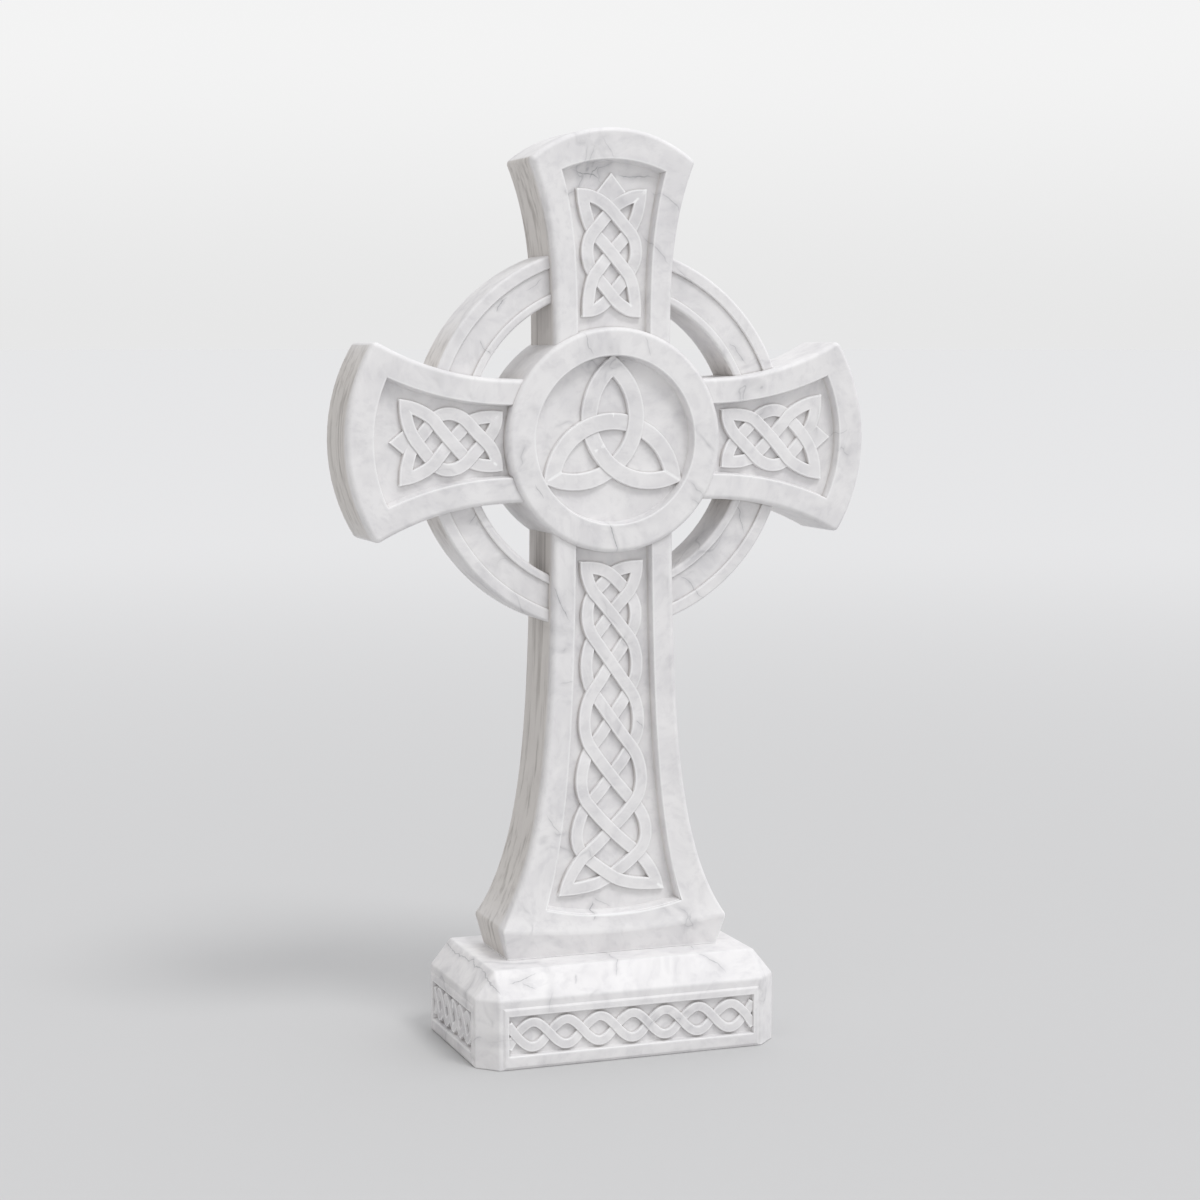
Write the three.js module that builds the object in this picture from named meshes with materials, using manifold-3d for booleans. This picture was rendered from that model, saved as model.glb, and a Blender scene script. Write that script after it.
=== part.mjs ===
// Celtic cross headstone: a carved white marble cross standing on a low marble plinth.
// Millimetres, +Z up, the carved face looks along -Y, and the origin is the middle of the plinth's underside.

import * as THREE from 'three';
import { mergeVertices } from 'three/addons/utils/BufferGeometryUtils.js';
import { ConvexGeometry } from 'three/addons/geometries/ConvexGeometry.js';
import Module from 'manifold-3d';

// Whole stone
const TOTAL_HEIGHT = 1220;
const JOINT_GAP = 0.3;              // the bed joint between the cross and the plinth
const EMBED = 2;                    // how far a carved cord runs into the stone behind it
const CLEAR = 1;                    // how far a cutter or a trimmed cord runs past the stone it cuts

// Plinth
const PLINTH_WIDTH = 425;
const PLINTH_DEPTH = 260;
const PLINTH_HEIGHT = 126.5;
const PLINTH_WALL_HEIGHT = 91.5;    // where the upright faces end and the weathering begins
const PLINTH_CUT = 29.5;            // corner cut, and the run of the weathering
const PANEL_PROUD = 1.8;            // raised panel in front of the plinth wall
const PANEL_TOP = 82;
const PANEL_BASE = 1.5;
const PANEL_END = 3;                // from the panel's end to the corner cut
const FIELD_TOP = 70.8;             // the sunk field that holds the twist
const FIELD_BASE = 18.3;
const FIELD_SIDE_FRAME = 8;         // frame left standing at each end of the field
const FIELD_DEPTH = 8;

// Shaft and foot
const NECK_HALF = 82;               // half width that the shaft tends to under the boss
const FOOT_HALF = 159;              // half width at the foot's widest arris
const FOOT_BED_HALF = 149.5;
const FOOT_ARRIS_HEIGHT = 167.5;
const FOOT_FLARE_LENGTH = 130;
const FOOT_ARRIS_SAG = 11;          // the front arris drops this far in the middle
const FOOT_DEPTH_HALF = 64;
const FOOT_BED_DEPTH_HALF = 54;
const FOOT_COVE_LENGTH = 22;
const FOOT_BEVEL = 2.5;
const FRONT_COLUMNS = 6;
const SHAFT_ROWS = 11;
const SHAFT_ROW_CROWDING = 1.8;     // above 1 crowds the rows toward the foot

// Arms
const TOP_END_REACH = 407;          // every reach is measured from the middle of the boss
const CENTRE_HEIGHT = TOTAL_HEIGHT - TOP_END_REACH;
const THICKNESS = 110;
const BEVEL = 6.7;
const ARM_NECK_HALF = 80.5;
const ARM_NECK_REACH = 122;
const ARM_TIP_REACH = 324;
const ARM_TIP_HALF = 130.5;
const ARM_END_REACH = 362;
const ARM_FLARE_POWER = 2.3;
const TOP_TIP_REACH = 365;
const TOP_TIP_HALF = 115;
const TOP_FLARE_POWER = 3;
const FLARE_STEPS = 7;
const END_STEPS = 6;

// Sunk fields of the arms and shaft
const SINK = 16;
const BATTER = 2;                   // how far the sunk walls lean in over their depth
const ARM_FIELD_OUTER = 308;
const ARM_FIELD_OUTER_HALF = 83;
const ARM_FIELD_END = 326;
const ARM_FIELD_INNER = 130;
const ARM_FIELD_START = 120;        // hidden under the boss
const ARM_FIELD_INNER_HALF = 47;
const ARM_FIELD_POWER = 2.2;
const TOP_FIELD_OUTER = 350.5;
const TOP_FIELD_OUTER_HALF = 72;
const TOP_FIELD_END = 365.5;
const TOP_FIELD_INNER_HALF = 50.5;
const SHAFT_FIELD_BASE = 192;
const SHAFT_FIELD_SAG = 12;
const SHAFT_FIELD_BASE_HALF = 94.5;
const SHAFT_FIELD_NECK_HALF = 51.5;
const SHAFT_FIELD_LENGTH = 150;
const SHAFT_FIELD_REACH = 123;      // its top end, hidden under the boss
const SHAFT_FIELD_STEPS = 12;
const SHAFT_FIELD_CROWDING = 1.6;

// Boss
const BOSS_RADIUS = 148;
const BOSS_PROUD = 7;
const BOSS_FIELD_RADIUS = 111;
const BOSS_SINK = 18;
const ROUND_STEPS = 60;

// Ring
const RING_OUTER = 255;
const RING_INNER = 196;
const RING_HALF_THICKNESS = 37;
const RING_OUTER_BEAD = 16.5;
const RING_INNER_BEAD = 11;
const RING_BEAD_HEIGHT = 4.5;
const RING_BEAD_ROUND = 3;
const RING_STEPS = 60;

// Cords
const CORD_WIDTH = 16.5;
const CORD_RELIEF = 7;
const CORD_DIP = 2.6;               // how much lower a cord runs where another crosses it
const TREFOIL_WIDTH = 22;
const TWIST_WIDTH = 13.5;
const TWIST_RELIEF = 5.5;
const TWIST_DIP = 2;
const TWIST_HALF_HEIGHT = 22.6;
const TWIST_END_RUN = 10;           // from the field's end to the first crossing
const FRONT_EYES = 7;
const END_EYES = 5;
const POINT_RELIEF = 4.4;           // the flat lozenge that peeps out behind a knot
const POINT_SLOPE = 0.82;
const DIP_HOLD = 0.55;              // a dip stays full over this many cord widths from the crossing
const DIP_EASE = 0.6;               // and fades out over this many more
const TWIST_END_LIFT = 0.95;        // share of the full swing at which a twist runs into its end
const TWIST_STATIONS = [0.15, 0.33, 0.5, 0.67, 0.85];

const wasm = await Module();
wasm.setup();

const marble = (color) => new THREE.MeshStandardMaterial({ color, roughness: 0.34, metalness: 0 });

// A closed mesh as a solid that can be joined and cut.
function solid(geometry) {
  const bare = geometry.index ? geometry.toNonIndexed() : geometry.clone();
  for (const name of Object.keys(bare.attributes)) {
    if (name !== 'position') bare.deleteAttribute(name);
  }
  const merged = mergeVertices(bare, 1e-3);
  return new wasm.Manifold(new wasm.Mesh({
    numProp: 3,
    vertProperties: new Float32Array(merged.attributes.position.array),
    triVerts: new Uint32Array(merged.index.array),
  }));
}

function join(parts) {
  return parts.reduce((whole, part) => whole.add(part));
}

function geometryOf(body) {
  const mesh = body.getMesh();
  const geometry = new THREE.BufferGeometry();
  geometry.setAttribute('position', new THREE.BufferAttribute(mesh.vertProperties, 3));
  geometry.setIndex(new THREE.BufferAttribute(mesh.triVerts, 1));
  geometry.computeVertexNormals();
  return geometry;
}

// A body from rings of points laid one above another, closed by a fan at each end.
function skin(rings) {
  const count = rings[0].length;
  const points = rings.flat();
  const faces = [];
  for (let j = 0; j + 1 < rings.length; j += 1) {
    for (let i = 0; i < count; i += 1) {
      const a = j * count + i;
      const b = j * count + (i + 1) % count;
      faces.push(a, b, b + count, a, b + count, a + count);
    }
  }
  const last = (rings.length - 1) * count;
  for (let i = 1; i + 1 < count; i += 1) {
    faces.push(0, i + 1, i);
    faces.push(last, last + i, last + i + 1);
  }
  const geometry = new THREE.BufferGeometry().setFromPoints(points);
  geometry.setIndex(faces);
  return solid(geometry);
}

// A shape drawn in X and Z, carried through the stone from one depth to another.
function through(shape, front, back, bevel = 0) {
  const geometry = new THREE.ExtrudeGeometry(shape, {
    depth: back - front - 2 * bevel,
    steps: 1,
    bevelEnabled: bevel > 0,
    bevelThickness: bevel,
    bevelSize: bevel,
    bevelOffset: -bevel,
    bevelSegments: 1,
  });
  geometry.rotateX(Math.PI / 2);
  geometry.translate(0, back - bevel, 0);
  return solid(geometry);
}

// A cutter for a sunk field: smaller by the batter at its floor, full size from the face outward.
function fieldCutter(shape, face, sink) {
  const geometry = new THREE.ExtrudeGeometry(shape, {
    depth: sink,
    steps: 1,
    bevelEnabled: true,
    bevelThickness: sink,
    bevelSize: BATTER,
    bevelOffset: -BATTER,
    bevelSegments: 1,
  });
  geometry.rotateX(Math.PI / 2);
  geometry.translate(0, face, 0);
  return solid(geometry);
}

function range(count, make) {
  return Array.from({ length: count }, (unused, i) => make(i));
}

function bezierCurve(...corners) {
  return new THREE.CubicBezierCurve(...corners.map(([x, y]) => new THREE.Vector2(x, y)));
}

const smooth = (t) => t * t * (3 - 2 * t);
const clamp = (t) => Math.min(1, Math.max(0, t));

// Points of the shallow arc through (-half, tip), (0, end) and (half, tip), from left to right.
function endArc(half, tip, end, steps) {
  const rise = end - tip;
  const radius = (half * half + rise * rise) / (2 * rise);
  const middle = end - radius;
  const reach = Math.asin(half / radius);
  return range(steps + 1, (i) => {
    const angle = -reach + 2 * reach * i / steps;
    return new THREE.Vector2(radius * Math.sin(angle), middle + radius * Math.cos(angle));
  });
}

// One arm pointing up from the middle of the boss: flared sides and a bowed end.
function armShape({ start, root, rootHalf, tip, tipHalf, end, power }) {
  const side = range(FLARE_STEPS + 1, (i) => {
    const s = i / FLARE_STEPS;
    return new THREE.Vector2(rootHalf + (tipHalf - rootHalf) * s ** power, root + (tip - root) * s);
  });
  const arc = endArc(tipHalf, tip, end, END_STEPS).reverse();
  const left = side.map((p) => new THREE.Vector2(-p.x, p.y)).reverse();
  const foot = [new THREE.Vector2(-rootHalf, start), new THREE.Vector2(rootHalf, start)];
  return new THREE.Shape([...foot, ...side, ...arc.slice(1, -1), ...left]);
}

const sideArmOutline = armShape({
  start: 0,
  root: ARM_NECK_REACH,
  rootHalf: ARM_NECK_HALF,
  tip: ARM_TIP_REACH,
  tipHalf: ARM_TIP_HALF,
  end: ARM_END_REACH,
  power: ARM_FLARE_POWER,
});
const topArmOutline = armShape({
  start: 0,
  root: ARM_NECK_REACH,
  rootHalf: ARM_NECK_HALF,
  tip: TOP_TIP_REACH,
  tipHalf: TOP_TIP_HALF,
  end: TOP_END_REACH,
  power: TOP_FLARE_POWER,
});
const sideArmField = armShape({
  start: ARM_FIELD_START,
  root: ARM_FIELD_INNER,
  rootHalf: ARM_FIELD_INNER_HALF,
  tip: ARM_FIELD_OUTER,
  tipHalf: ARM_FIELD_OUTER_HALF,
  end: ARM_FIELD_END,
  power: ARM_FIELD_POWER,
});
const topArmField = armShape({
  start: ARM_FIELD_START,
  root: ARM_FIELD_INNER,
  rootHalf: TOP_FIELD_INNER_HALF,
  tip: TOP_FIELD_OUTER,
  tipHalf: TOP_FIELD_OUTER_HALF,
  end: TOP_FIELD_END,
  power: TOP_FLARE_POWER,
});

// Moves a shape that points up from the boss to the top, right (+1) or left (-1) arm.
function toTop(body) {
  return body.translate([0, 0, CENTRE_HEIGHT]);
}

function toSide(body, side) {
  return body.rotate([0, side * 90, 0]).translate([0, 0, CENTRE_HEIGHT]);
}

// Shaft and foot
function shaftHalf(z) {
  return NECK_HALF + (FOOT_HALF - NECK_HALF) * Math.exp(-(z - FOOT_ARRIS_HEIGHT) / FOOT_FLARE_LENGTH);
}

function shaftDepth(z) {
  const swell = FOOT_DEPTH_HALF - THICKNESS / 2;
  return THICKNESS / 2 + swell * Math.exp(-(z - FOOT_ARRIS_HEIGHT) / FOOT_COVE_LENGTH);
}

function shaftRing(z, half, depth, bevel, sag) {
  const edge = range(FRONT_COLUMNS + 1, (i) => {
    const t = -1 + 2 * i / FRONT_COLUMNS;
    return new THREE.Vector3(t * (half - bevel), -depth, z - sag * (1 - t * t));
  });
  const back = edge.map((p) => new THREE.Vector3(-p.x, -p.y, p.z));
  const corner = (sx, sy) => new THREE.Vector3(sx * half, sy * (depth - bevel), z);
  return [...edge, corner(1, -1), corner(1, 1), ...back, corner(-1, 1), corner(-1, -1)];
}

function shaft() {
  const rings = [shaftRing(PLINTH_HEIGHT + JOINT_GAP, FOOT_BED_HALF, FOOT_BED_DEPTH_HALF, FOOT_BEVEL, 0)];
  for (let i = 0; i < SHAFT_ROWS; i += 1) {
    const rise = (CENTRE_HEIGHT - FOOT_ARRIS_HEIGHT) * (i / SHAFT_ROWS) ** SHAFT_ROW_CROWDING;
    const z = FOOT_ARRIS_HEIGHT + rise;
    const fade = Math.exp(-rise / FOOT_COVE_LENGTH);
    const bevel = BEVEL + (FOOT_BEVEL - BEVEL) * fade;
    rings.push(shaftRing(z, shaftHalf(z), shaftDepth(z), bevel, FOOT_ARRIS_SAG * fade));
  }
  const half = shaftHalf(CENTRE_HEIGHT);
  rings.push(shaftRing(CENTRE_HEIGHT, half, THICKNESS / 2, BEVEL, 0));
  return skin(rings);
}

function shaftFieldHalf(z) {
  const spread = SHAFT_FIELD_BASE_HALF - SHAFT_FIELD_NECK_HALF;
  return SHAFT_FIELD_NECK_HALF + spread * Math.exp(-(z - SHAFT_FIELD_BASE) / SHAFT_FIELD_LENGTH);
}

function shaftField() {
  const length = CENTRE_HEIGHT - SHAFT_FIELD_REACH - SHAFT_FIELD_BASE;
  const side = range(SHAFT_FIELD_STEPS + 1, (i) => {
    const z = SHAFT_FIELD_BASE + length * (i / SHAFT_FIELD_STEPS) ** SHAFT_FIELD_CROWDING;
    return new THREE.Vector2(shaftFieldHalf(z), z);
  });
  const sag = endArc(SHAFT_FIELD_BASE_HALF, 0, SHAFT_FIELD_SAG, END_STEPS);
  const base = sag.map((p) => new THREE.Vector2(p.x, SHAFT_FIELD_BASE - p.y));
  const left = side.map((p) => new THREE.Vector2(-p.x, p.y)).reverse();
  return new THREE.Shape([...base.slice(1, -1), ...side, ...left]);
}

// A turned body about the line through the middle of the boss. Profile points are radius and depth.
function turned(profile, steps) {
  const points = profile.map(([radius, depth]) => new THREE.Vector2(radius, depth));
  const geometry = new THREE.LatheGeometry(points, steps);
  geometry.translate(0, 0, CENTRE_HEIGHT);
  return solid(geometry);
}

function boss() {
  const face = -THICKNESS / 2 - BOSS_PROUD;
  return turned([
    [0, face],
    [BOSS_RADIUS - BEVEL, face],
    [BOSS_RADIUS, face + BEVEL],
    [BOSS_RADIUS, -face - BEVEL],
    [BOSS_RADIUS - BEVEL, -face],
    [0, -face],
  ], ROUND_STEPS);
}

function bossCutter() {
  const face = -THICKNESS / 2 - BOSS_PROUD;
  return turned([
    [0, face - CLEAR],
    [BOSS_FIELD_RADIUS, face - CLEAR],
    [BOSS_FIELD_RADIUS, face],
    [BOSS_FIELD_RADIUS - BATTER, face + BOSS_SINK],
    [0, face + BOSS_SINK],
  ], ROUND_STEPS);
}

// The ring is moulded on its face, with a bead at each edge, and plain behind.
function ring() {
  const front = -RING_HALF_THICKNESS;
  const band = front + RING_BEAD_HEIGHT;
  const back = RING_HALF_THICKNESS;
  const r = RING_BEAD_ROUND;
  return turned([
    [RING_INNER, front + r],
    [RING_INNER + r, front],
    [RING_INNER + RING_INNER_BEAD - r, front],
    [RING_INNER + RING_INNER_BEAD, band],
    [RING_OUTER - RING_OUTER_BEAD, band],
    [RING_OUTER - RING_OUTER_BEAD + r, front],
    [RING_OUTER - r, front],
    [RING_OUTER, front + r],
    [RING_OUTER, back - r],
    [RING_OUTER - r, back],
    [RING_INNER + r, back],
    [RING_INNER, back - r],
    [RING_INNER, front + r],
  ], RING_STEPS);
}

// A cord is a line of stations with mitred corners, standing on the floor depth and rising toward the
// viewer. It crosses itself, so it is made in pieces that meet at the stations marked as cuts.
function cordPieces(stations, closed, width, floor) {
  const count = stations.length;
  const sections = stations.map((here, i) => {
    const before = stations[closed ? (i + count - 1) % count : Math.max(i - 1, 0)];
    const after = stations[closed ? (i + 1) % count : Math.min(i + 1, count - 1)];
    const into = new THREE.Vector2(here.x - before.x, here.z - before.z).normalize();
    const out = new THREE.Vector2(after.x - here.x, after.z - here.z).normalize();
    const first = into.lengthSq() > 0 ? into : out;
    const second = out.lengthSq() > 0 ? out : into;
    const normal = new THREE.Vector2(-first.y - second.y, first.x + second.x);
    const across = normal.divideScalar(1 + first.dot(second)).multiplyScalar(width / 2);
    const corner = (side, depth) => {
      const place = across.clone().multiplyScalar(side);
      return new THREE.Vector3(here.x + place.x, depth, here.z + place.y);
    };
    const top = floor - here.height;
    return [corner(1, top), corner(-1, top), corner(-1, floor + EMBED), corner(1, floor + EMBED)];
  });
  const cuts = stations.map((station, i) => (station.cut ? i : -1)).filter((i) => i >= 0);
  const pieces = [];
  for (let k = 0; k < cuts.length; k += 1) {
    const wraps = k + 1 === cuts.length;
    if (!wraps || closed) {
      const begin = cuts[k];
      const end = wraps ? cuts[0] + count : cuts[k + 1];
      const run = range(end - begin + 1, (i) => sections[(begin + i) % count]);
      pieces.push(skin(run));
    }
  }
  return pieces;
}

// Sets each station's height: level, with a dip wherever the cord passes under another.
function sink(stations, closed, width, relief, dip) {
  const along = [0];
  stations.forEach((here, i) => {
    const next = stations[(i + 1) % stations.length];
    along.push(along[i] + Math.hypot(next.x - here.x, next.z - here.z));
  });
  const total = along[stations.length];
  const unders = stations.map((station, i) => (station.under ? along[i] : -1)).filter((s) => s >= 0);
  stations.forEach((here, i) => {
    let depth = 0;
    for (const at of unders) {
      const direct = Math.abs(along[i] - at);
      const gap = closed ? Math.min(direct, total - direct) : direct;
      depth = Math.max(depth, 1 - smooth(clamp((gap / width - DIP_HOLD) / DIP_EASE)));
    }
    here.height = relief - dip * depth;
  });
  return stations;
}

// How far a bow of a plait bulges out beside its crossings, and how far a pointed loop reaches out.
const BULGE = 1.4;
const POINT = 1.5;
const BEZIER_SHARE = 0.75;          // a curve reaches this share of the way to its two middle corners
const STRAIGHT_STEPS = 4;
const BOW_STEPS = 6;
const BRANCH_STATIONS = [0, 0.34, 0.5, 0.67, 0.84, 1];
const BRANCH_CUT = 2;               // the station of a pointed loop's first branch where its cord is cut

// A branch of a pointed loop, from its point to the middle line. The first step away from the point is
// long, so that the mitre has room.
function branchToAxis(tip, du, dv, axis) {
  return branch(tip, [du * 1.05, tip[1]], [du * 0.45, axis[1] + dv * 0.45], axis);
}

// A branch of a pointed loop, from its point to the crossing at the side.
function branchToSide(tip, du, dv, side) {
  return branch(tip, [tip[0], tip[1] - dv * 0.6], [du * 1.25, side[1] + dv * 0.3], side);
}

function branch(...corners) {
  const curve = bezierCurve(...corners);
  return BRANCH_STATIONS.map((t) => curve.getPoint(t));
}

// The path of a plait two cells wide and n cells long, as one closed line on a grid: u runs across, with
// crossings at 0 and 1, and v runs along, from 0 at one end to 2n at the other. A line falls where u and v
// grow together, if hand is 1, and lies on top unless the crossing is listed as one where it doesn't.
function plaitPath(n, tipInset, hand, risingOver) {
  const path = [];
  let u = 0;
  let v = 1;
  let du = 1;
  let dv = 1;
  const add = (points, cut) => {
    const yields = risingOver.some(([overU, overV]) => overU === u && overV === v);
    const falling = du * dv * hand > 0;
    points.slice(0, -1).forEach((p, i) => {
      path.push({ u: p.x, v: p.y, cut: cut.includes(i), under: i === 0 && falling === yields });
    });
  };
  do {
    const inward = u !== 0 && du === -u;
    const ahead = v + dv;
    if (inward || (u === 0 && ahead > 0 && ahead < 2 * n)) {
      const to = inward ? 0 : du;
      const line = new THREE.LineCurve(new THREE.Vector2(u, v), new THREE.Vector2(to, ahead));
      add(line.getPoints(STRAIGHT_STEPS), [STRAIGHT_STEPS / 2]);
      u = to;
      v = ahead;
    } else if (u !== 0 && v + 2 * dv > 0 && v + 2 * dv < 2 * n) {
      const k = (BULGE - 1) / BEZIER_SHARE;
      const out = u + u * k;
      const bow = bezierCurve([u, v], [out, v + dv * k], [out, v + dv * (2 - k)], [u, v + 2 * dv]);
      add(bow.getPoints(BOW_STEPS), [BOW_STEPS / 2]);
      v += 2 * dv;
      du = -du;
    } else {
      const tip = [du * POINT, dv > 0 ? 2 * n - tipInset : tipInset];
      const axis = [0, dv > 0 ? 2 * n - 1 : 1];
      const side = [du, dv > 0 ? 2 * n - 2 : 2];
      const toAxis = branchToAxis(tip, du, dv, axis);
      const toSide = branchToSide(tip, du, dv, side);
      const first = u === 0 ? toAxis.reverse() : toSide.reverse();
      const second = u === 0 ? toSide : toAxis;
      const leaf = [...first.slice(0, -1), ...second];
      add(leaf, [BRANCH_CUT, leaf.length - 1 - BRANCH_CUT]);
      [u, v] = u === 0 ? side : axis;
      du = -du;
      dv = -dv;
    }
  } while (!(u === 0 && v === 1 && du === 1 && dv === 1));
  return path;
}

// A plait laid between two reaches, with the outer half width given at any reach. Crowding shortens its
// cells at both ends, and lengthens those about the middle.
function plait({ n, start, end, halfAt, crowding, hand, risingOver }) {
  const reachAt = (v) => {
    const share = v / (2 * n);
    return start + (end - start) * (share - crowding * share * (1 - share) * (CROWDING_TURN - share));
  };
  const inset = CORD_WIDTH / 2 / Math.abs(reachAt(1) - start);
  const stations = plaitPath(n, inset, hand, risingOver).map((p) => {
    const reach = reachAt(p.v);
    const scale = (halfAt(reach) - CORD_WIDTH / 2) / (BULGE + POINT) * 2;
    return { ...p, x: p.u * scale, z: reach };
  });
  const cord = sink(stations, true, CORD_WIDTH, CORD_RELIEF, CORD_DIP);
  return cordPieces(cord, true, CORD_WIDTH, KNOT_FLOOR);
}

// Knots of the arms and shaft, drawn pointing up from the middle of the boss. Each was set out by eye, so
// the left and right ones differ a little. A cord that falls from left to right lies on top, except at the
// crossings [u, v] named in risingOver.
const KNOT_FLOOR = -THICKNESS / 2 + SINK;
const CROWDING_TURN = 0.65;         // share of the length above which crowding pulls the cells up
const ARM_CELLS = 3;
const TOP_KNOT = {
  start: 327.5,
  end: 161,
  outerHalf: 47.5,
  innerHalf: 39.5,
  pointReach: 348.5,
  hand: 1,
  risingOver: [[-1, 2], [-1, 4]],
};
const LEFT_KNOT = {
  start: 290,
  end: 151,
  outerHalf: 54,
  innerHalf: 37.5,
  pointReach: 303,
  hand: -1,
  risingOver: [[-1, 2], [-1, 4]],
};
const RIGHT_KNOT = {
  start: 303,
  end: 157,
  outerHalf: 55.4,
  innerHalf: 37.5,
  pointReach: 317,
  hand: -1,
  risingOver: [[-1, 2]],
};
const SHAFT_CELLS = 7;
const SHAFT_KNOT_REACH = 161;       // from the middle of the boss down to the top of the plait
const SHAFT_KNOT_BASE = 203;
const SHAFT_KNOT_FILL = 0.8;        // share of the field's half width that the plait fills
const SHAFT_KNOT_CROWDING = 0.8;    // 0 would space the crossings evenly
const SHAFT_RISING_OVER = [[1, 2], [-1, 6], [1, 10], [-1, 12], [1, 12]];

function armKnot({ start, end, outerHalf, innerHalf, pointReach, hand, risingOver }) {
  const slope = (outerHalf - innerHalf) / (start - end);
  const halfAt = (reach) => innerHalf + slope * (reach - end);
  const cords = plait({ n: ARM_CELLS, start, end, halfAt, crowding: 0, hand, risingOver });
  const crossing = start - (start - end) / (2 * ARM_CELLS);
  const shoulder = (pointReach + crossing) / 2;
  const half = (pointReach - shoulder) * POINT_SLOPE;
  const lozenge = new THREE.Shape([
    new THREE.Vector2(0, crossing),
    new THREE.Vector2(half, shoulder),
    new THREE.Vector2(0, pointReach),
    new THREE.Vector2(-half, shoulder),
  ]);
  return join([...cords, through(lozenge, KNOT_FLOOR - POINT_RELIEF, KNOT_FLOOR + EMBED)]);
}

function shaftKnot() {
  return join(plait({
    n: SHAFT_CELLS,
    start: CENTRE_HEIGHT - SHAFT_KNOT_REACH,
    end: SHAFT_KNOT_BASE,
    halfAt: (z) => SHAFT_KNOT_FILL * shaftFieldHalf(z),
    crowding: SHAFT_KNOT_CROWDING,
    hand: 1,
    risingOver: SHAFT_RISING_OVER,
  }));
}

// The trefoil of the boss: three arcs of one radius whose points touch the edge of the sunk field.
const TREFOIL_ARC = 85.5;
const TREFOIL_OFFSET = 61;          // from the middle of the boss to the middle of each arc
const TREFOIL_STEPS = 4;            // steps in each leg of an arc, between a point and a crossing
const TREFOIL_TIPS = 3;

function trefoil() {
  const third = 2 * Math.PI / TREFOIL_TIPS;
  const spread = Math.sqrt(TREFOIL_ARC ** 2 - 0.75 * TREFOIL_OFFSET ** 2);
  const angleAt = (radius, around) => Math.atan2(
    radius * Math.sin(around) + TREFOIL_OFFSET, radius * Math.cos(around),
  );
  const tip = angleAt(TREFOIL_OFFSET / 2 + spread, -Math.PI / 6);
  const crossing = angleAt(spread - TREFOIL_OFFSET / 2, Math.PI / 6);
  const stations = [];
  for (let k = 0; k < TREFOIL_TIPS; k += 1) {
    const turn = -k * third;
    const legs = [
      [tip, crossing, false],
      [crossing, Math.PI - crossing, true],
      [Math.PI - crossing, Math.PI - tip, false],
    ];
    for (const [from, to, under] of legs) {
      for (let i = 0; i < TREFOIL_STEPS; i += 1) {
        const angle = from + (to - from) * i / TREFOIL_STEPS;
        const x = TREFOIL_ARC * Math.cos(angle);
        const y = TREFOIL_ARC * Math.sin(angle) - TREFOIL_OFFSET;
        stations.push({
          x: x * Math.cos(turn) - y * Math.sin(turn),
          z: CENTRE_HEIGHT + x * Math.sin(turn) + y * Math.cos(turn),
          cut: i === TREFOIL_STEPS / 2,
          under: i === 0 && under,
        });
      }
    }
  }
  const floor = -THICKNESS / 2 - BOSS_PROUD + BOSS_SINK;
  const cord = sink(stations, true, TREFOIL_WIDTH, CORD_RELIEF, CORD_DIP);
  return join(cordPieces(cord, true, TREFOIL_WIDTH, floor));
}

// The twist of the plinth: two cords that cross between round eyes and run out into the corners.
function twist(eyes, halfLength, floor) {
  const middle = (FIELD_BASE + FIELD_TOP) / 2;
  const swing = TWIST_HALF_HEIGHT - TWIST_WIDTH / 2;
  const pitch = 2 * (halfLength - TWIST_END_RUN) / eyes;
  const first = -pitch * eyes / 2;
  const pieces = [];
  for (const sign of [1, -1]) {
    const rises = (k) => (k % 2 === 0) === (sign > 0);
    const end = (side, up) => {
      const z = middle + up * swing * TWIST_END_LIFT;
      return { x: side * (halfLength + CLEAR), z, cut: true };
    };
    const line = [end(-1, -sign)];
    for (let k = 0; k <= eyes; k += 1) {
      line.push({ x: first + k * pitch, z: middle, under: rises(k) });
      if (k < eyes) {
        for (const s of TWIST_STATIONS) {
          const lift = (rises(k) ? 1 : -1) * Math.sin(Math.PI * s) * swing;
          line.push({ x: first + (k + s) * pitch, z: middle + lift, cut: s === 0.5 });
        }
      }
    }
    line.push(end(1, rises(eyes) ? 1 : -1));
    const cord = sink(line, false, TWIST_WIDTH, TWIST_RELIEF, TWIST_DIP);
    pieces.push(...cordPieces(cord, false, TWIST_WIDTH, floor));
  }
  return join(pieces);
}

function box(x0, x1, y0, y1, z0, z1) {
  const geometry = new THREE.BoxGeometry(x1 - x0, y1 - y0, z1 - z0);
  geometry.translate((x0 + x1) / 2, (y0 + y1) / 2, (z0 + z1) / 2);
  return solid(geometry);
}

// The plinth's block: upright walls with cut corners, and a weathering that rises to a flat top.
function plinthBlock() {
  const wallX = PLINTH_WIDTH / 2 - PANEL_PROUD;
  const wallY = PLINTH_DEPTH / 2 - PANEL_PROUD;
  const cut = PLINTH_CUT - PANEL_PROUD;
  const points = [];
  for (const sx of [-1, 1]) {
    for (const sy of [-1, 1]) {
      for (const z of [0, PLINTH_WALL_HEIGHT]) {
        points.push(new THREE.Vector3(sx * (wallX - cut + PANEL_PROUD), sy * wallY, z));
        points.push(new THREE.Vector3(sx * wallX, sy * (wallY - cut + PANEL_PROUD), z));
      }
      points.push(new THREE.Vector3(sx * (wallX - cut), sy * (wallY - cut), PLINTH_HEIGHT));
    }
  }
  return solid(new ConvexGeometry(points));
}

// A raised panel with a sunk field, made facing -Y on a face whose distance and half length are given.
function panel(distance, halfLength) {
  return box(-halfLength, halfLength, -distance, -distance + PANEL_PROUD + EMBED, PANEL_BASE, PANEL_TOP);
}

function field(distance, halfLength) {
  return box(-halfLength, halfLength, -distance - CLEAR, -distance + FIELD_DEPTH, FIELD_BASE, FIELD_TOP);
}

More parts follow.
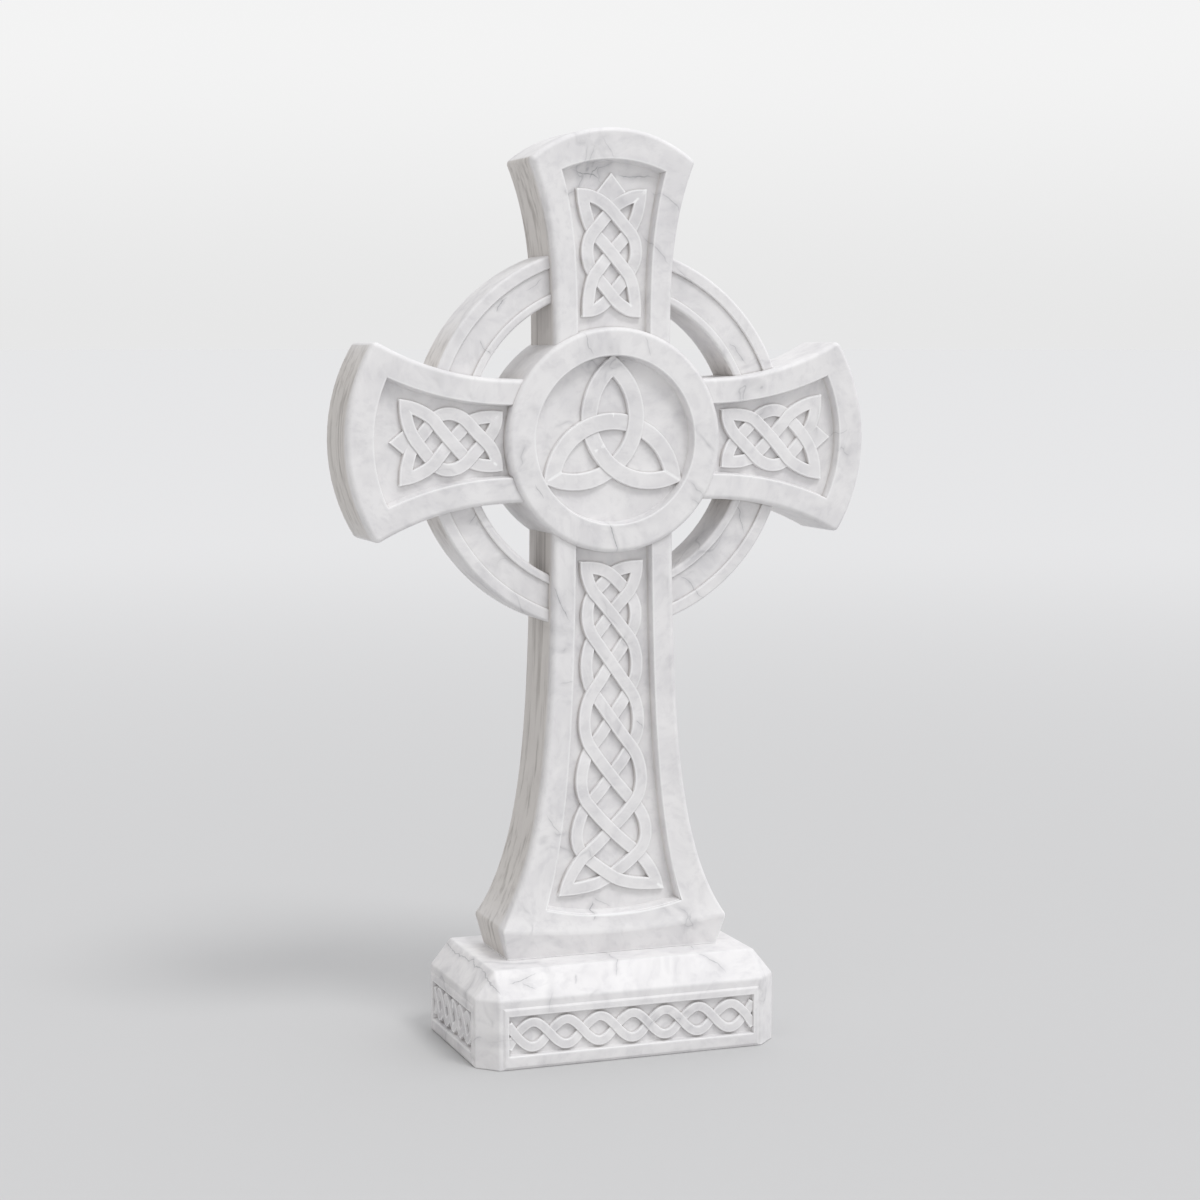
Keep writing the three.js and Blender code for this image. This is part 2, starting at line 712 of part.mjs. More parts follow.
function plinth() {
  const faces = [
    { turn: 0, distance: PLINTH_DEPTH / 2, width: PLINTH_WIDTH, eyes: FRONT_EYES },
    { turn: 90, distance: PLINTH_WIDTH / 2, width: PLINTH_DEPTH, eyes: END_EYES },
    { turn: 180, distance: PLINTH_DEPTH / 2, width: PLINTH_WIDTH, eyes: 0 },
    { turn: 270, distance: PLINTH_WIDTH / 2, width: PLINTH_DEPTH, eyes: END_EYES },
  ];
  let body = plinthBlock();
  for (const { turn, distance, width, eyes } of faces) {
    const panelHalf = width / 2 - PLINTH_CUT - PANEL_END;
    const fieldHalf = panelHalf - FIELD_SIDE_FRAME;
    body = body.add(panel(distance, panelHalf).rotate([0, 0, turn]));
    body = body.subtract(field(distance, fieldHalf).rotate([0, 0, turn]));
    if (eyes > 0) {
      const cords = twist(eyes, fieldHalf, -distance + FIELD_DEPTH);
      body = body.add(cords.rotate([0, 0, turn]));
    }
  }
  return body;
}

function cross() {
  const half = THICKNESS / 2;
  const sideArm = through(sideArmOutline, -half, half, BEVEL);
  const sideField = fieldCutter(sideArmField, -half, SINK);
  let body = shaft().add(toTop(through(topArmOutline, -half, half, BEVEL)));
  body = body.add(toSide(sideArm, 1)).add(toSide(sideArm, -1)).add(ring());
  body = body.subtract(toTop(fieldCutter(topArmField, -half, SINK)));
  body = body.subtract(toSide(sideField, 1)).subtract(toSide(sideField, -1));
  body = body.subtract(fieldCutter(shaftField(), -half, SINK));
  body = body.add(toTop(armKnot(TOP_KNOT))).add(shaftKnot());
  body = body.add(toSide(armKnot(RIGHT_KNOT), 1)).add(toSide(armKnot(LEFT_KNOT), -1));
  return body.add(boss()).subtract(bossCutter()).add(trefoil());
}

const stone = new THREE.Group();
const crossMesh = new THREE.Mesh(geometryOf(cross()), marble(0xe4e3e4));
crossMesh.name = 'cross';
stone.add(crossMesh);
const plinthMesh = new THREE.Mesh(geometryOf(plinth()), marble(0xe2e1e2));
plinthMesh.name = 'plinth';
stone.add(plinthMesh);

export default stone;
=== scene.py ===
# %% [markdown]
# # A Celtic cross headstone in white marble
#
# The stone stands in two pieces: a tall ringed cross, and the low plinth that it is bedded on. The frame
# holds both as plain solids at their true size. This lesson carves finer ones over them, gives them the
# finish of veined marble, and lights them. Everything is in metres, +Z is up, and the carved face looks
# along -Y.

import math

import bmesh
import bpy
import numpy as np
from mathutils import Matrix, Vector


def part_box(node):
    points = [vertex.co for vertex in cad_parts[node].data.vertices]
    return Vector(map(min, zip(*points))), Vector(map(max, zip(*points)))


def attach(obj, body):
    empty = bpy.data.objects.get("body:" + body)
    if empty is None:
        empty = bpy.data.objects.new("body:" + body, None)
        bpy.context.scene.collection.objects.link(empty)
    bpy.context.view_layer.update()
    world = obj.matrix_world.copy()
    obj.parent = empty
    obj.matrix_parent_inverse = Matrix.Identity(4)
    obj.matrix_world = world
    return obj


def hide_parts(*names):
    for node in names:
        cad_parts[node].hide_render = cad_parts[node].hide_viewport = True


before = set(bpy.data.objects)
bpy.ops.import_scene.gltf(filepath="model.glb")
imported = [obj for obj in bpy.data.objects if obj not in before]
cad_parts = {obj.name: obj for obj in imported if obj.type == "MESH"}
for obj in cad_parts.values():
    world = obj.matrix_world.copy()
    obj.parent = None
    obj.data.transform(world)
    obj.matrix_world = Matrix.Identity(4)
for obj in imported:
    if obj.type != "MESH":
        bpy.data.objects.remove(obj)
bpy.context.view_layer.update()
cross_low, cross_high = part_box("cross")
plinth_low, plinth_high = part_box("plinth")
print("nodes in the frame:", sorted(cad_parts))

# %% [markdown]
# ## Where the viewer stands
#
# The stone is seen from its left, a little above the middle, from far enough away that its edges stay
# nearly parallel. A long lens does that. The camera is turned 20 degrees towards the stone's right and
# tipped down by less than 6 degrees, which shows the left flanks and the top of the plinth.

# %% Camera
CAMERA_PLACE = Vector((-1.1671, -3.2060, 0.9392))
CAMERA_TURN = math.radians(20)
CAMERA_TIP = math.radians(5.74)
CAMERA_LENS = 76.5
STONE_MIDDLE = Vector((0, 0, 0.6))

camera_data = bpy.data.cameras.new("viewpoint")
camera_data.lens = CAMERA_LENS
camera = bpy.data.objects.new("viewpoint", camera_data)
camera.location = CAMERA_PLACE
camera.rotation_euler = (math.pi / 2 - CAMERA_TIP, 0, -CAMERA_TURN)
bpy.context.scene.collection.objects.link(camera)
bpy.context.scene.camera = camera
print("camera", round((CAMERA_PLACE - STONE_MIDDLE).length, 2), "m from the stone")

# %% [markdown]
# ## A mason's few moves
#
# A mason saws a block, sinks fields into it and leaves bands standing. In Blender the same moves are
# closed meshes that are joined or cut away from one another with the Boolean modifier. Sculpting could
# make them too, but booleans keep each arris exactly where it is measured, and a knot that is worked out
# by a rule stays even along its whole length.
#
# Every body here is a skin over rings of points, so one small function makes them all.

# %% Make a body
WELD = 1e-7


def body_of(name, points, faces):
    """A closed mesh object with its faces turned outward."""
    mesh = bpy.data.meshes.new(name)
    mesh.from_pydata([tuple(float(c) for c in p) for p in points], [], faces)
    work = bmesh.new()
    work.from_mesh(mesh)
    bmesh.ops.remove_doubles(work, verts=work.verts, dist=WELD)
    bmesh.ops.triangulate(work, faces=[face for face in work.faces if len(face.verts) > 4])
    bmesh.ops.recalc_face_normals(work, faces=work.faces)
    work.to_mesh(mesh)
    work.free()
    body = bpy.data.objects.new(name, mesh)
    bpy.context.scene.collection.objects.link(body)
    return body


def skin(name, rings, round_trip=False, open_rings=False):
    """A body over rings of equally many points, with closed ends unless the rings go all the way round."""
    count = len(rings[0])
    points = [p for ring in rings for p in ring]
    steps = len(rings) if round_trip else len(rings) - 1
    faces = []
    for j in range(steps):
        here = j * count
        there = (j + 1) % len(rings) * count
        for i in range(count - 1 if open_rings else count):
            k = (i + 1) % count
            faces.append((here + i, here + k, there + k, there + i))
    if not round_trip:
        faces.append(tuple(range(count)))
        faces.append(tuple(range(len(points) - count, len(points))))
    return body_of(name, points, faces)


# %% Join and cut bodies
def settle(body):
    """Turns a body's modifiers into plain mesh."""
    graph = bpy.context.evaluated_depsgraph_get()
    mesh = bpy.data.meshes.new_from_object(body.evaluated_get(graph))
    old = body.data
    body.modifiers.clear()
    body.data = mesh
    bpy.data.meshes.remove(old)
    return body


def work_on(body, operation, tools):
    """Joins the tools to a body or cuts them away, and uses them up."""
    for tool in tools:
        step = body.modifiers.new(operation.lower(), "BOOLEAN")
        step.operation = operation
        step.solver = "MANIFOLD"
        step.object = tool
    settle(body)
    for tool in tools:
        mesh = tool.data
        bpy.data.objects.remove(tool)
        bpy.data.meshes.remove(mesh)
    return body


def join(body, *tools):
    return work_on(body, "UNION", tools)


def cut(body, *tools):
    return work_on(body, "DIFFERENCE", tools)


def litres(body):
    """A body's volume, faces and open edges, in words."""
    work = bmesh.new()
    work.from_mesh(body.data)
    volume = work.calc_volume() * 1000
    open_edges = sum(not edge.is_manifold for edge in work.edges)
    work.free()
    return f"{volume:.3f} litres, {len(body.data.polygons)} faces, {open_edges} open edges"


# %% [markdown]
# ## Outlines and rounded edges
#
# The arms and the sunk fields are flat shapes with depth. Each is a stack of rings of the same outline,
# drawn in a little further at each edge. A Bevel modifier would round them too, but it trips over short
# edges at the corners. Drawing the outline in by hand never does, as long as a corner's own radius is a
# little larger than the rounding.

# %% Outline helpers
def unit(vectors):
    return vectors / np.linalg.norm(vectors, axis=-1, keepdims=True)


def mitre(into, out):
    """The vector to the left of a line at a corner, long enough to keep both sides parallel."""
    left = np.stack([-into[..., 1] - out[..., 1], into[..., 0] + out[..., 0]], -1)
    return left / (1 + (into * out).sum(-1, keepdims=True))


def drawn_out(outline, distance):
    """A closed outline, counterclockwise, moved outward by a distance, or inward by a negative one."""
    into = unit(outline - np.roll(outline, 1, 0))
    return outline - mitre(into, np.roll(into, -1, 0)) * distance


def rounded_corner(outline, index, radius, steps=6):
    """The outline with one corner turned into an arc that touches both of its sides."""
    corner = outline[index]
    back = unit(outline[index - 1] - corner)
    ahead = unit(outline[(index + 1) % len(outline)] - corner)
    half = math.acos(np.clip(back @ ahead, -1, 1)) / 2
    middle = corner + unit(back + ahead) * radius / math.sin(half)
    start = corner + back * radius / math.tan(half) - middle
    end = corner + ahead * radius / math.tan(half) - middle
    share = np.linspace(0, 1, steps + 1)[:, None]
    sweep = math.pi - 2 * half
    arc = (np.sin((1 - share) * sweep) * start + np.sin(share * sweep) * end) / math.sin(sweep)
    return np.vstack([outline[:index], middle + arc, outline[index + 1:]])


def end_arc(half, tip, end, steps=16):
    """The shallow arc through (-half, tip), (0, end) and (half, tip), from right to left."""
    rise = end - tip
    radius = (half * half + rise * rise) / (2 * rise)
    reach = math.asin(half / radius)
    angle = np.linspace(reach, -reach, steps + 1)
    return np.stack([radius * np.sin(angle), end - radius + radius * np.cos(angle)], 1)


def quarter(radius, steps=6):
    """How far a rounded edge is drawn in, and how deep it lies, from the face to the side."""
    angle = np.linspace(0, math.pi / 2, steps + 1)
    return list(zip(radius * (1 - np.sin(angle)), radius * (1 - np.cos(angle))))


# %% Stacks of outlines
def stack(name, outline, levels):
    """A body from one outline. A level is how far it is drawn out, and its depth along Y."""
    rings = []
    for out, depth in levels:
        ring = drawn_out(outline, out)
        rings.append([(x, depth, z) for x, z in ring])
    return skin(name, rings)


def slab(name, outline, front, back, rounding, back_rounding=0):
    """A slab with a rounded arris in front, and behind where one is given."""
    levels = [(-inset, front + depth) for inset, depth in quarter(rounding)]
    if back_rounding:
        levels += [(-inset, back - depth) for inset, depth in reversed(quarter(back_rounding))]
    else:
        levels.append((0, back))
    return stack(name, outline, levels)


FIELD_ARRIS = 0.0016
FIELD_FILLET = 0.0014
FIELD_STEPS = 4
CLEAR = 0.004


def field_levels(edge, face, sink, batter):
    """A field's edge from above the face to its floor: a rounded arris, a leaning wall and a fillet."""
    foot = edge - batter
    levels = [(edge + FIELD_ARRIS, face - CLEAR)]
    levels += [(edge + inset, face + depth) for inset, depth in quarter(FIELD_ARRIS, FIELD_STEPS)]
    fillet = reversed(quarter(FIELD_FILLET, FIELD_STEPS))
    return levels + [(foot - inset, face + sink - depth) for inset, depth in fillet]


def field_cutter(name, outline, face, sink, batter):
    """The stone that a sunk field takes away."""
    return stack(name, outline, field_levels(0, face, sink, batter))


# %% [markdown]
# ## The four arms
#
# The head is a cross of flared arms with bowed ends. Each side widens slowly at first and fast near the
# tip, which a power curve draws with one number. The arms are drawn pointing up from the middle of the
# boss and then turned into place, so the left and right arms are one shape.

# %% Arms
CENTRE = 0.813
THICKNESS = 0.110
ARRIS = 0.0067
TIP_RADIUS = 0.0075
OVERLAP = 0.020

ARM_NECK = 0.122
ARM_NECK_HALF = 0.0805
ARM_TIP = 0.324
ARM_TIP_HALF = 0.1305
ARM_POWER = 2.3
TOP_TIP = 0.365
TOP_TIP_HALF = 0.115
TOP_POWER = 3.0
FLARE_STEPS = 18

FACE = -THICKNESS / 2


def arm_outline(root, root_half, tip, tip_half, end, start, power):
    """A flared shape that points up, from its foot at start to the top of its bowed end."""
    share = np.linspace(0, 1, FLARE_STEPS + 1)
    side = np.stack([root_half + (tip_half - root_half) * share ** power, root + (tip - root) * share], 1)
    arc = end_arc(tip_half, tip, end)
    foot = np.array([[-root_half, start], [root_half, start]])
    left = (side * [-1, 1])[::-1]
    return np.vstack([foot, side, arc[1:-1], left])


def arm(name, root, root_half, tip, tip_half, end, power):
    outline = arm_outline(root, root_half, tip, tip_half, end, -OVERLAP, power)
    right_tip = 2 + FLARE_STEPS
    left_tip = len(outline) - 1 - FLARE_STEPS
    outline = rounded_corner(outline, left_tip, TIP_RADIUS)
    outline = rounded_corner(outline, right_tip, TIP_RADIUS)
    return slab(name, outline, FACE, -FACE, ARRIS, ARRIS)


def to_top(body):
    body.data.transform(Matrix.Translation((0, 0, CENTRE)))
    return body


def to_side(body, side):
    """Turns what points up into the right arm (+1) or the left arm (-1)."""
    turn = Matrix.Rotation(side * math.pi / 2, 4, "Y")
    body.data.transform(Matrix.Translation((0, 0, CENTRE)) @ turn)
    return body


top_end = cross_high.z - CENTRE
top_arm = to_top(arm("top_arm", ARM_NECK, ARM_NECK_HALF, TOP_TIP, TOP_TIP_HALF, top_end, TOP_POWER))
side_arms = []
for side in (1, -1):
    piece = arm("side_arm", ARM_NECK, ARM_NECK_HALF, ARM_TIP, ARM_TIP_HALF, cross_high.x, ARM_POWER)
    side_arms.append(to_side(piece, side))
print("one arm:", litres(side_arms[0]))

# %% [markdown]
# ## Shaft and foot
#
# The shaft flares down to a foot. The flare fades by an exponential, so it leans out more and more
# without a kink, and the same rule swells the front and back over the last few centimetres into a cove.
# Under the widest arris the foot turns back in to the plinth. That arris sags in the middle of the face.
# A loft over rings suits this: each ring has a size and a sag of its own, and a lathe or an extrusion
# couldn't change both.

# %% Shaft
BED = cross_low.z
NECK_HALF = 0.082
FOOT_HALF = 0.159
FOOT_BED_HALF = 0.1495
FOOT_ARRIS = 0.1675
FOOT_FLARE = 0.130
FOOT_SAG = 0.011
FOOT_DEPTH = cross_high.y
FOOT_BED_DEPTH = 0.054
FOOT_COVE = 0.022
FOOT_ROUND = 0.0025
ARRIS_SPREAD = 0.0035
SHAFT_ROWS = 44
SHAFT_COLUMNS = 24
ROW_CROWDING = 1.8
SOFT_ROWS = 7
CLEAR_OF_ARRIS = 3


def shaft_half(z):
    return NECK_HALF + (FOOT_HALF - NECK_HALF) * math.exp(-(z - FOOT_ARRIS) / FOOT_FLARE)


def shaft_ring(z, half, depth, rounding, sag):
    """One level of the shaft, seen from above: a front edge, two rounded arrises, and the same behind."""
    share = np.linspace(-1, 1, SHAFT_COLUMNS + 1)
    front = [(t * (half - rounding), -depth, z - sag * (1 - t * t)) for t in share]
    arris = [(half - inset, -depth + sunk, z) for inset, sunk in quarter(rounding)[1:]]
    right = front + arris
    quarter_turn = right[1:] + [(x, -y, level) for x, y, level in reversed(arris)]
    half_turn = [right[0]] + quarter_turn
    back = [(-x, -y, level) for x, y, level in half_turn]
    return np.array(half_turn + back)


def shaft():
    rings = []
    span = CENTRE - FOOT_ARRIS
    for i in range(SHAFT_ROWS + 1):
        rise = span * (i / SHAFT_ROWS) ** ROW_CROWDING
        fade = math.exp(-rise / FOOT_COVE)
        z = FOOT_ARRIS + rise
        depth = THICKNESS / 2 + (FOOT_DEPTH - THICKNESS / 2) * fade
        rounding = ARRIS + (FOOT_ROUND - ARRIS) * fade
        rings.append(shaft_ring(z, shaft_half(z), depth, rounding, FOOT_SAG * fade))
    bed = shaft_ring(BED, FOOT_BED_HALF, FOOT_BED_DEPTH, FOOT_ROUND, 0)
    arris = rings[0]
    higher = rings[CLEAR_OF_ARRIS]
    below = arris + (bed - arris) * ARRIS_SPREAD / (FOOT_ARRIS - BED)
    above = arris + (higher - arris) * ARRIS_SPREAD / (higher[0][2] - arris[0][2])
    soft = [below * (1 - t) ** 2 + arris * 2 * t * (1 - t) + above * t * t
            for t in np.linspace(0, 1, SOFT_ROWS)]
    start = next(i for i, ring in enumerate(rings) if ring[0][2] > above[0][2])
    return skin("shaft", [bed] + soft + rings[start:])


body = shaft()
print("shaft:", litres(body))

# %% [markdown]
# ## Ring
#
# The ring ties the arms together. Its face is moulded: a bead at each edge and a flat band between them.
# It is the same all the way round, so it is turned, like a bowl on a lathe: a profile of radius and depth
# is swept round the middle of the boss.

# %% Ring
RING_OUTER = 0.255
RING_INNER = 0.196
RING_HALF = 0.037
OUTER_BEAD = 0.0165
INNER_BEAD = 0.011
BEAD_HEIGHT = 0.0045
BEAD_ROUND = 0.0042
BEAD_LIP = 0.002
RING_BACK_ROUND = 0.003
TURNS = 192


def turned(name, profile, closed):
    """A body swept round the line through the middle of the boss. Its profile is radius and depth."""
    rings = []
    for k in range(TURNS):
        angle = 2 * math.pi * k / TURNS
        rings.append([(r * math.sin(angle), y, CENTRE + r * math.cos(angle)) for r, y in profile])
    return skin(name, rings, round_trip=True, open_rings=not closed)


def bead(inner, outer, front, inner_round, outer_round, inner_foot, outer_foot):
    """The profile of a bead that is rounded at both edges, from its inner foot to its outer foot."""
    rise = [(inner + inset, front + depth) for inset, depth in reversed(quarter(inner_round))]
    fall = [(outer - inset, front + depth) for inset, depth in quarter(outer_round)]
    return [(inner, inner_foot)] + rise + fall + [(outer, outer_foot)]


def ring():
    front = -RING_HALF
    band = front + BEAD_HEIGHT
    back = RING_HALF
    inner = bead(RING_INNER, RING_INNER + INNER_BEAD, front, BEAD_ROUND, BEAD_LIP, 0, band)
    outer = bead(RING_OUTER - OUTER_BEAD, RING_OUTER, front, BEAD_LIP, BEAD_ROUND, band, 0)
    behind = [(RING_OUTER - inset, back - depth) for inset, depth in reversed(quarter(RING_BACK_ROUND))]
    behind += [(RING_INNER + inset, back - depth) for inset, depth in quarter(RING_BACK_ROUND)]
    return turned("ring", inner + outer + behind, True)


body = join(body, top_arm, *side_arms, ring())
print("cross before carving:", litres(body))

# %% [markdown]
# ## Sunk fields
#
# Each arm and the shaft has a field sunk 16 mm into its face, with a frame left standing round it. The
# walls lean a little, as a chisel leaves them. Where a wall meets the face the arris is barely rounded,
# and that thin edge is what catches the light.

# %% Sunk fields
SINK = 0.016
BATTER = 0.002
FLOOR = FACE + SINK
FIELD_INNER = 0.130
SIDE_FIELD = {"root_half": 0.047, "tip": 0.308, "tip_half": 0.083, "end": 0.326, "power": 2.2}
TOP_FIELD = {"root_half": 0.0505, "tip": 0.3505, "tip_half": 0.072, "end": 0.3655, "power": TOP_POWER}

SHAFT_FIELD_BASE = 0.192
SHAFT_FIELD_SAG = 0.012
SHAFT_FIELD_BASE_HALF = 0.0945
SHAFT_FIELD_NECK_HALF = 0.0515
SHAFT_FIELD_LENGTH = 0.150
SHAFT_FIELD_TOP = 0.690
SHAFT_FIELD_STEPS = 28
SHAFT_FIELD_CROWDING = 1.6


def shaft_field_half(z):
    spread = SHAFT_FIELD_BASE_HALF - SHAFT_FIELD_NECK_HALF
    return SHAFT_FIELD_NECK_HALF + spread * np.exp(-(z - SHAFT_FIELD_BASE) / SHAFT_FIELD_LENGTH)


def shaft_field_outline():
    share = np.linspace(0, 1, SHAFT_FIELD_STEPS + 1) ** SHAFT_FIELD_CROWDING
    z = SHAFT_FIELD_BASE + (SHAFT_FIELD_TOP - SHAFT_FIELD_BASE) * share
    side = np.stack([shaft_field_half(z), z], 1)
    sag = end_arc(SHAFT_FIELD_BASE_HALF, 0, SHAFT_FIELD_SAG)[::-1]
    base = np.stack([sag[:, 0], SHAFT_FIELD_BASE - sag[:, 1]], 1)
    return np.vstack([base[1:-1], side, (side * [-1, 1])[::-1]])


def arm_field(root_half, tip, tip_half, end, power):
    outline = arm_outline(FIELD_INNER, root_half, tip, tip_half, end, FIELD_INNER - OVERLAP / 2, power)
    return field_cutter("arm_field", outline, FACE, SINK, BATTER)


body = cut(
    body,
    to_top(arm_field(**TOP_FIELD)),
    to_side(arm_field(**SIDE_FIELD), 1),
    to_side(arm_field(**SIDE_FIELD), -1),
    field_cutter("shaft_field", shaft_field_outline(), FACE, SINK, BATTER),
)
print("cross with its fields:", litres(body))

# %% [markdown]
# ## The line of a plait
#
# The knots in the arms and down the shaft are plaits of one endless cord. A mason sets one out on a grid:
# crossings on the middle line and at both sides, half a step apart. From each crossing the cord runs
# straight to the next, bows round at the side, or runs out to a pointed corner and back. Followed by that
# rule it comes back to its start.
#
# A textbook plait goes over and under by turns. This carver let the cord that falls from left to right lie
# on top, and changed over only here and there, so each knot lists the crossings where the rising cord is
# on top. The grid has u across, with crossings at 0 and 1, and v along, from 0 at one end to twice the
# number of cells at the other.

# %% The line of a plait
BULGE = 1.4
POINT = 1.5
AXIS_BEND = (1.05, 0.45, 0.45)
FLANK_BEND = (0.6, 1.25, 0.3)
STRAIGHT_STEPS = 6
BOW_STEPS = 16
BRANCH_STEPS = 14


def run(corners, steps):
    """Points of a straight line through two corners, or of a curve with four."""
    t = np.linspace(0, 1, steps + 1)[:, None]
    p = np.array(corners, float)
    if len(p) == 2:
        return p[0] * (1 - t) + p[1] * t
    return p[0] * (1 - t) ** 3 + 3 * p[1] * t * (1 - t) ** 2 + 3 * p[2] * t ** 2 * (1 - t) + p[3] * t ** 3


def leaf(du, dv, cells, inset):
    """The two branches of a pointed corner, each from its tip: one to the middle line, one to the side."""
    end = 2 * cells - inset if dv > 0 else inset
    axis = (0, 2 * cells - 1 if dv > 0 else 1)
    side = (du, 2 * cells - 2 if dv > 0 else 2)
    tip = (du * POINT, end)
    along, across, rise = AXIS_BEND
    to_axis = run([tip, (du * along, end), (du * across, axis[1] + dv * rise), axis], BRANCH_STEPS)
    drop, out, lift = FLANK_BEND
    to_flank = run([tip, (du * POINT, end - dv * drop), (du * out, side[1] + dv * lift), side], BRANCH_STEPS)
    return to_axis, to_flank, axis, side


def plait_line(cells, inset, hand, rising_over):
    """The closed line of a plait on its grid, with a mark at each station: under, cut, tip or none."""
    points, marks = [], []

    def add(curve, under, special):
        for i, point in enumerate(curve[:-1]):
            points.append(point)
            marks.append("under" if i == 0 and under else special.get(i, ""))

    u, v, du, dv = 0, 1, 1, 1
    while not points or (u, v, du, dv) != (0, 1, 1, 1):
        falling = du * dv * hand > 0
        under = falling == ((u, v) in rising_over)
        inward = u != 0 and du == -u
        if inward or (u == 0 and 0 < v + dv < 2 * cells):
            to = 0 if inward else du
            add(run([(u, v), (to, v + dv)], STRAIGHT_STEPS), under, {STRAIGHT_STEPS // 2: "cut"})
            u, v = to, v + dv
        elif u != 0 and 0 < v + 2 * dv < 2 * cells:
            k = (BULGE - 1) / 0.75
            bow = [(u, v), (u + u * k, v + dv * k), (u + u * k, v + dv * (2 - k)), (u, v + 2 * dv)]
            add(run(bow, BOW_STEPS), under, {BOW_STEPS // 2: "cut"})
            v, du = v + 2 * dv, -du
        else:
            to_axis, to_flank, axis, flank = leaf(du, dv, cells, inset)
            first, second = (to_axis, to_flank) if u == 0 else (to_flank, to_axis)
            add(np.vstack([first[::-1], second[1:]]), under, {BRANCH_STEPS: "tip"})
            u, v = flank if u == 0 else axis
            du, dv = -du, -dv
    return np.array(points), marks


print("a plait of 3 cells has", plait_line(3, 0.3, 1, [])[1].count("under"), "crossings")

# %% [markdown]
# ## From a line to a cord
#
# The carved cord is a flat band with softened edges. It keeps its level where it passes over, and dips
# where it passes under. A curve with a bevel would be quicker, but it can't dip one way and stay level
# the other way, and its points never come out sharp. So each stretch between two marks is skinned by
# hand. At a pointed corner both stretches run on past the point, and each is trimmed on the line that
# halves the corner, as a joiner cuts a mitre.

# %% Cord stretches
CORD = {"width": 0.0165, "relief": 0.007, "dip": 0.0022, "edge": 0.0012, "crown": 0.0001}
EMBED = 0.002
FOOT_SPREAD = 0.0005
EDGE_STEPS = 4
HOLD = 0.5
EASE = 1.0


def cord_tops(points, marks, closed, width, relief, dip, floor):
    """The depth of the cord's top at each station."""
    steps = np.linalg.norm(np.roll(points, -1, 0) - points, axis=1)
    along = np.concatenate([[0], np.cumsum(steps)])
    lowered = np.zeros(len(points))
    for i, mark in enumerate(marks):
        if mark == "under":
            gap = abs(along[:-1] - along[i])
            if closed:
                gap = np.minimum(gap, along[-1] - gap)
            share = np.clip((gap / width - HOLD) / EASE, 0, 1)
            lowered = np.maximum(lowered, 1 - share * share * (3 - 2 * share))
    return floor - relief + dip * lowered


def cord_section(top, floor, width, edge, crown):
    """The band's section, from foot to foot: offset across, and depth."""
    half = width / 2
    side = [(-half + inset, top + crown + depth) for inset, depth in quarter(edge, EDGE_STEPS)][::-1]
    flat = [(-(half - edge) / 2, top + crown / 4), (0, top), ((half - edge) / 2, top + crown / 4)]
    other = [(-offset, depth) for offset, depth in reversed(side)]
    foot = half + FOOT_SPREAD
    return [(-foot, floor + EMBED)] + side + flat + other + [(foot, floor + EMBED)]


def trim(body, place, away):
    """Cuts off what lies beyond a plane and closes the cut."""
    work = bmesh.new()
    work.from_mesh(body.data)
    everything = work.verts[:] + work.edges[:] + work.faces[:]
    normal = Vector((away[0], 0, away[1]))
    at = Vector((place[0], 0, place[1]))
    bmesh.ops.bisect_plane(work, geom=everything, dist=WELD, plane_co=at, plane_no=normal, clear_outer=True)
    bmesh.ops.holes_fill(work, edges=work.edges[:], sides=0)
    bmesh.ops.recalc_face_normals(work, faces=work.faces)
    work.to_mesh(body.data)
    work.free()


def mitre_plane(points, i, keep):
    """The direction away from the kept neighbour, across the line that halves the corner at i."""
    into = unit(points[i] - points[i - 1])
    out = unit(points[(i + 1) % len(points)] - points[i])
    ridge = unit(into - out)
    normal = np.array([-ridge[1], ridge[0]])
    half = math.acos(np.clip(-into @ out, -1, 1)) / 2
    side = (points[keep % len(points)] - points[i]) @ normal
    return -normal * np.sign(side), half


def cords(points, marks, closed, floor, width, relief, dip, edge, crown):
    """All the stretches of a cord, as bodies standing on the floor of a field."""
    count = len(points)
    tops = cord_tops(points, marks, closed, width, relief, dip, floor)
    stops = [i for i, mark in enumerate(marks) if mark in ("cut", "tip")]
    ends = stops[1:] + ([stops[0] + count] if closed else [])
    bodies = []
    for begin, end in zip(stops, ends):
        span = [i % count for i in range(begin, end + 1)]
        place, top = points[span], list(tops[span])
        sharp = [marks[span[0]] == "tip", marks[span[-1]] == "tip"]
        straight_in = sharp[0] or (not closed and begin == 0)
        straight_out = sharp[1] or (not closed and end == count - 1)
        lead = 2 * place[0] - place[1] if straight_in else points[begin - 1]
        tail = 2 * place[-1] - place[-2] if straight_out else points[(end + 1) % count]
        chain = np.vstack([[lead], place, [tail]])
        heading = unit(np.diff(chain, axis=0))
        across = mitre(heading[:-1], heading[1:])
        place, across, planes = list(place), list(across), []
        if sharp[1]:
            away, half = mitre_plane(points, span[-1], span[-2])
            planes.append((points[span[-1]], away))
            place.append(place[-1] + heading[-1] * width / math.tan(half))
            across.append(across[-1])
            top.append(top[-1])
        if sharp[0]:
            away, half = mitre_plane(points, span[0], span[1])
            planes.append((points[span[0]], away))
            place.insert(0, place[0] - heading[0] * width / math.tan(half))
            across.insert(0, across[0])
            top.insert(0, top[0])
        rings = []
        for here, side, level in zip(place, across, top):
            section = cord_section(level, floor, width, edge, crown)
            rings.append([(here[0] + side[0] * o, depth, here[1] + side[1] * o) for o, depth in section])
        piece = skin("cord", rings)
        for at, away in planes:
            trim(piece, at, away)
        bodies.append(piece)
    return bodies


# %% [markdown]
# ## Knots of the arms and the shaft
#
# Each arm has a plait of three cells that tapers towards the boss, with a flat lozenge peeping out behind
# its outer end. The carver set the left and right ones out by eye, so they differ a little. The shaft has
# one of seven cells that widens with the field. Its cells are short at both ends and longest about the
# middle. All of them are the same rule with different numbers.

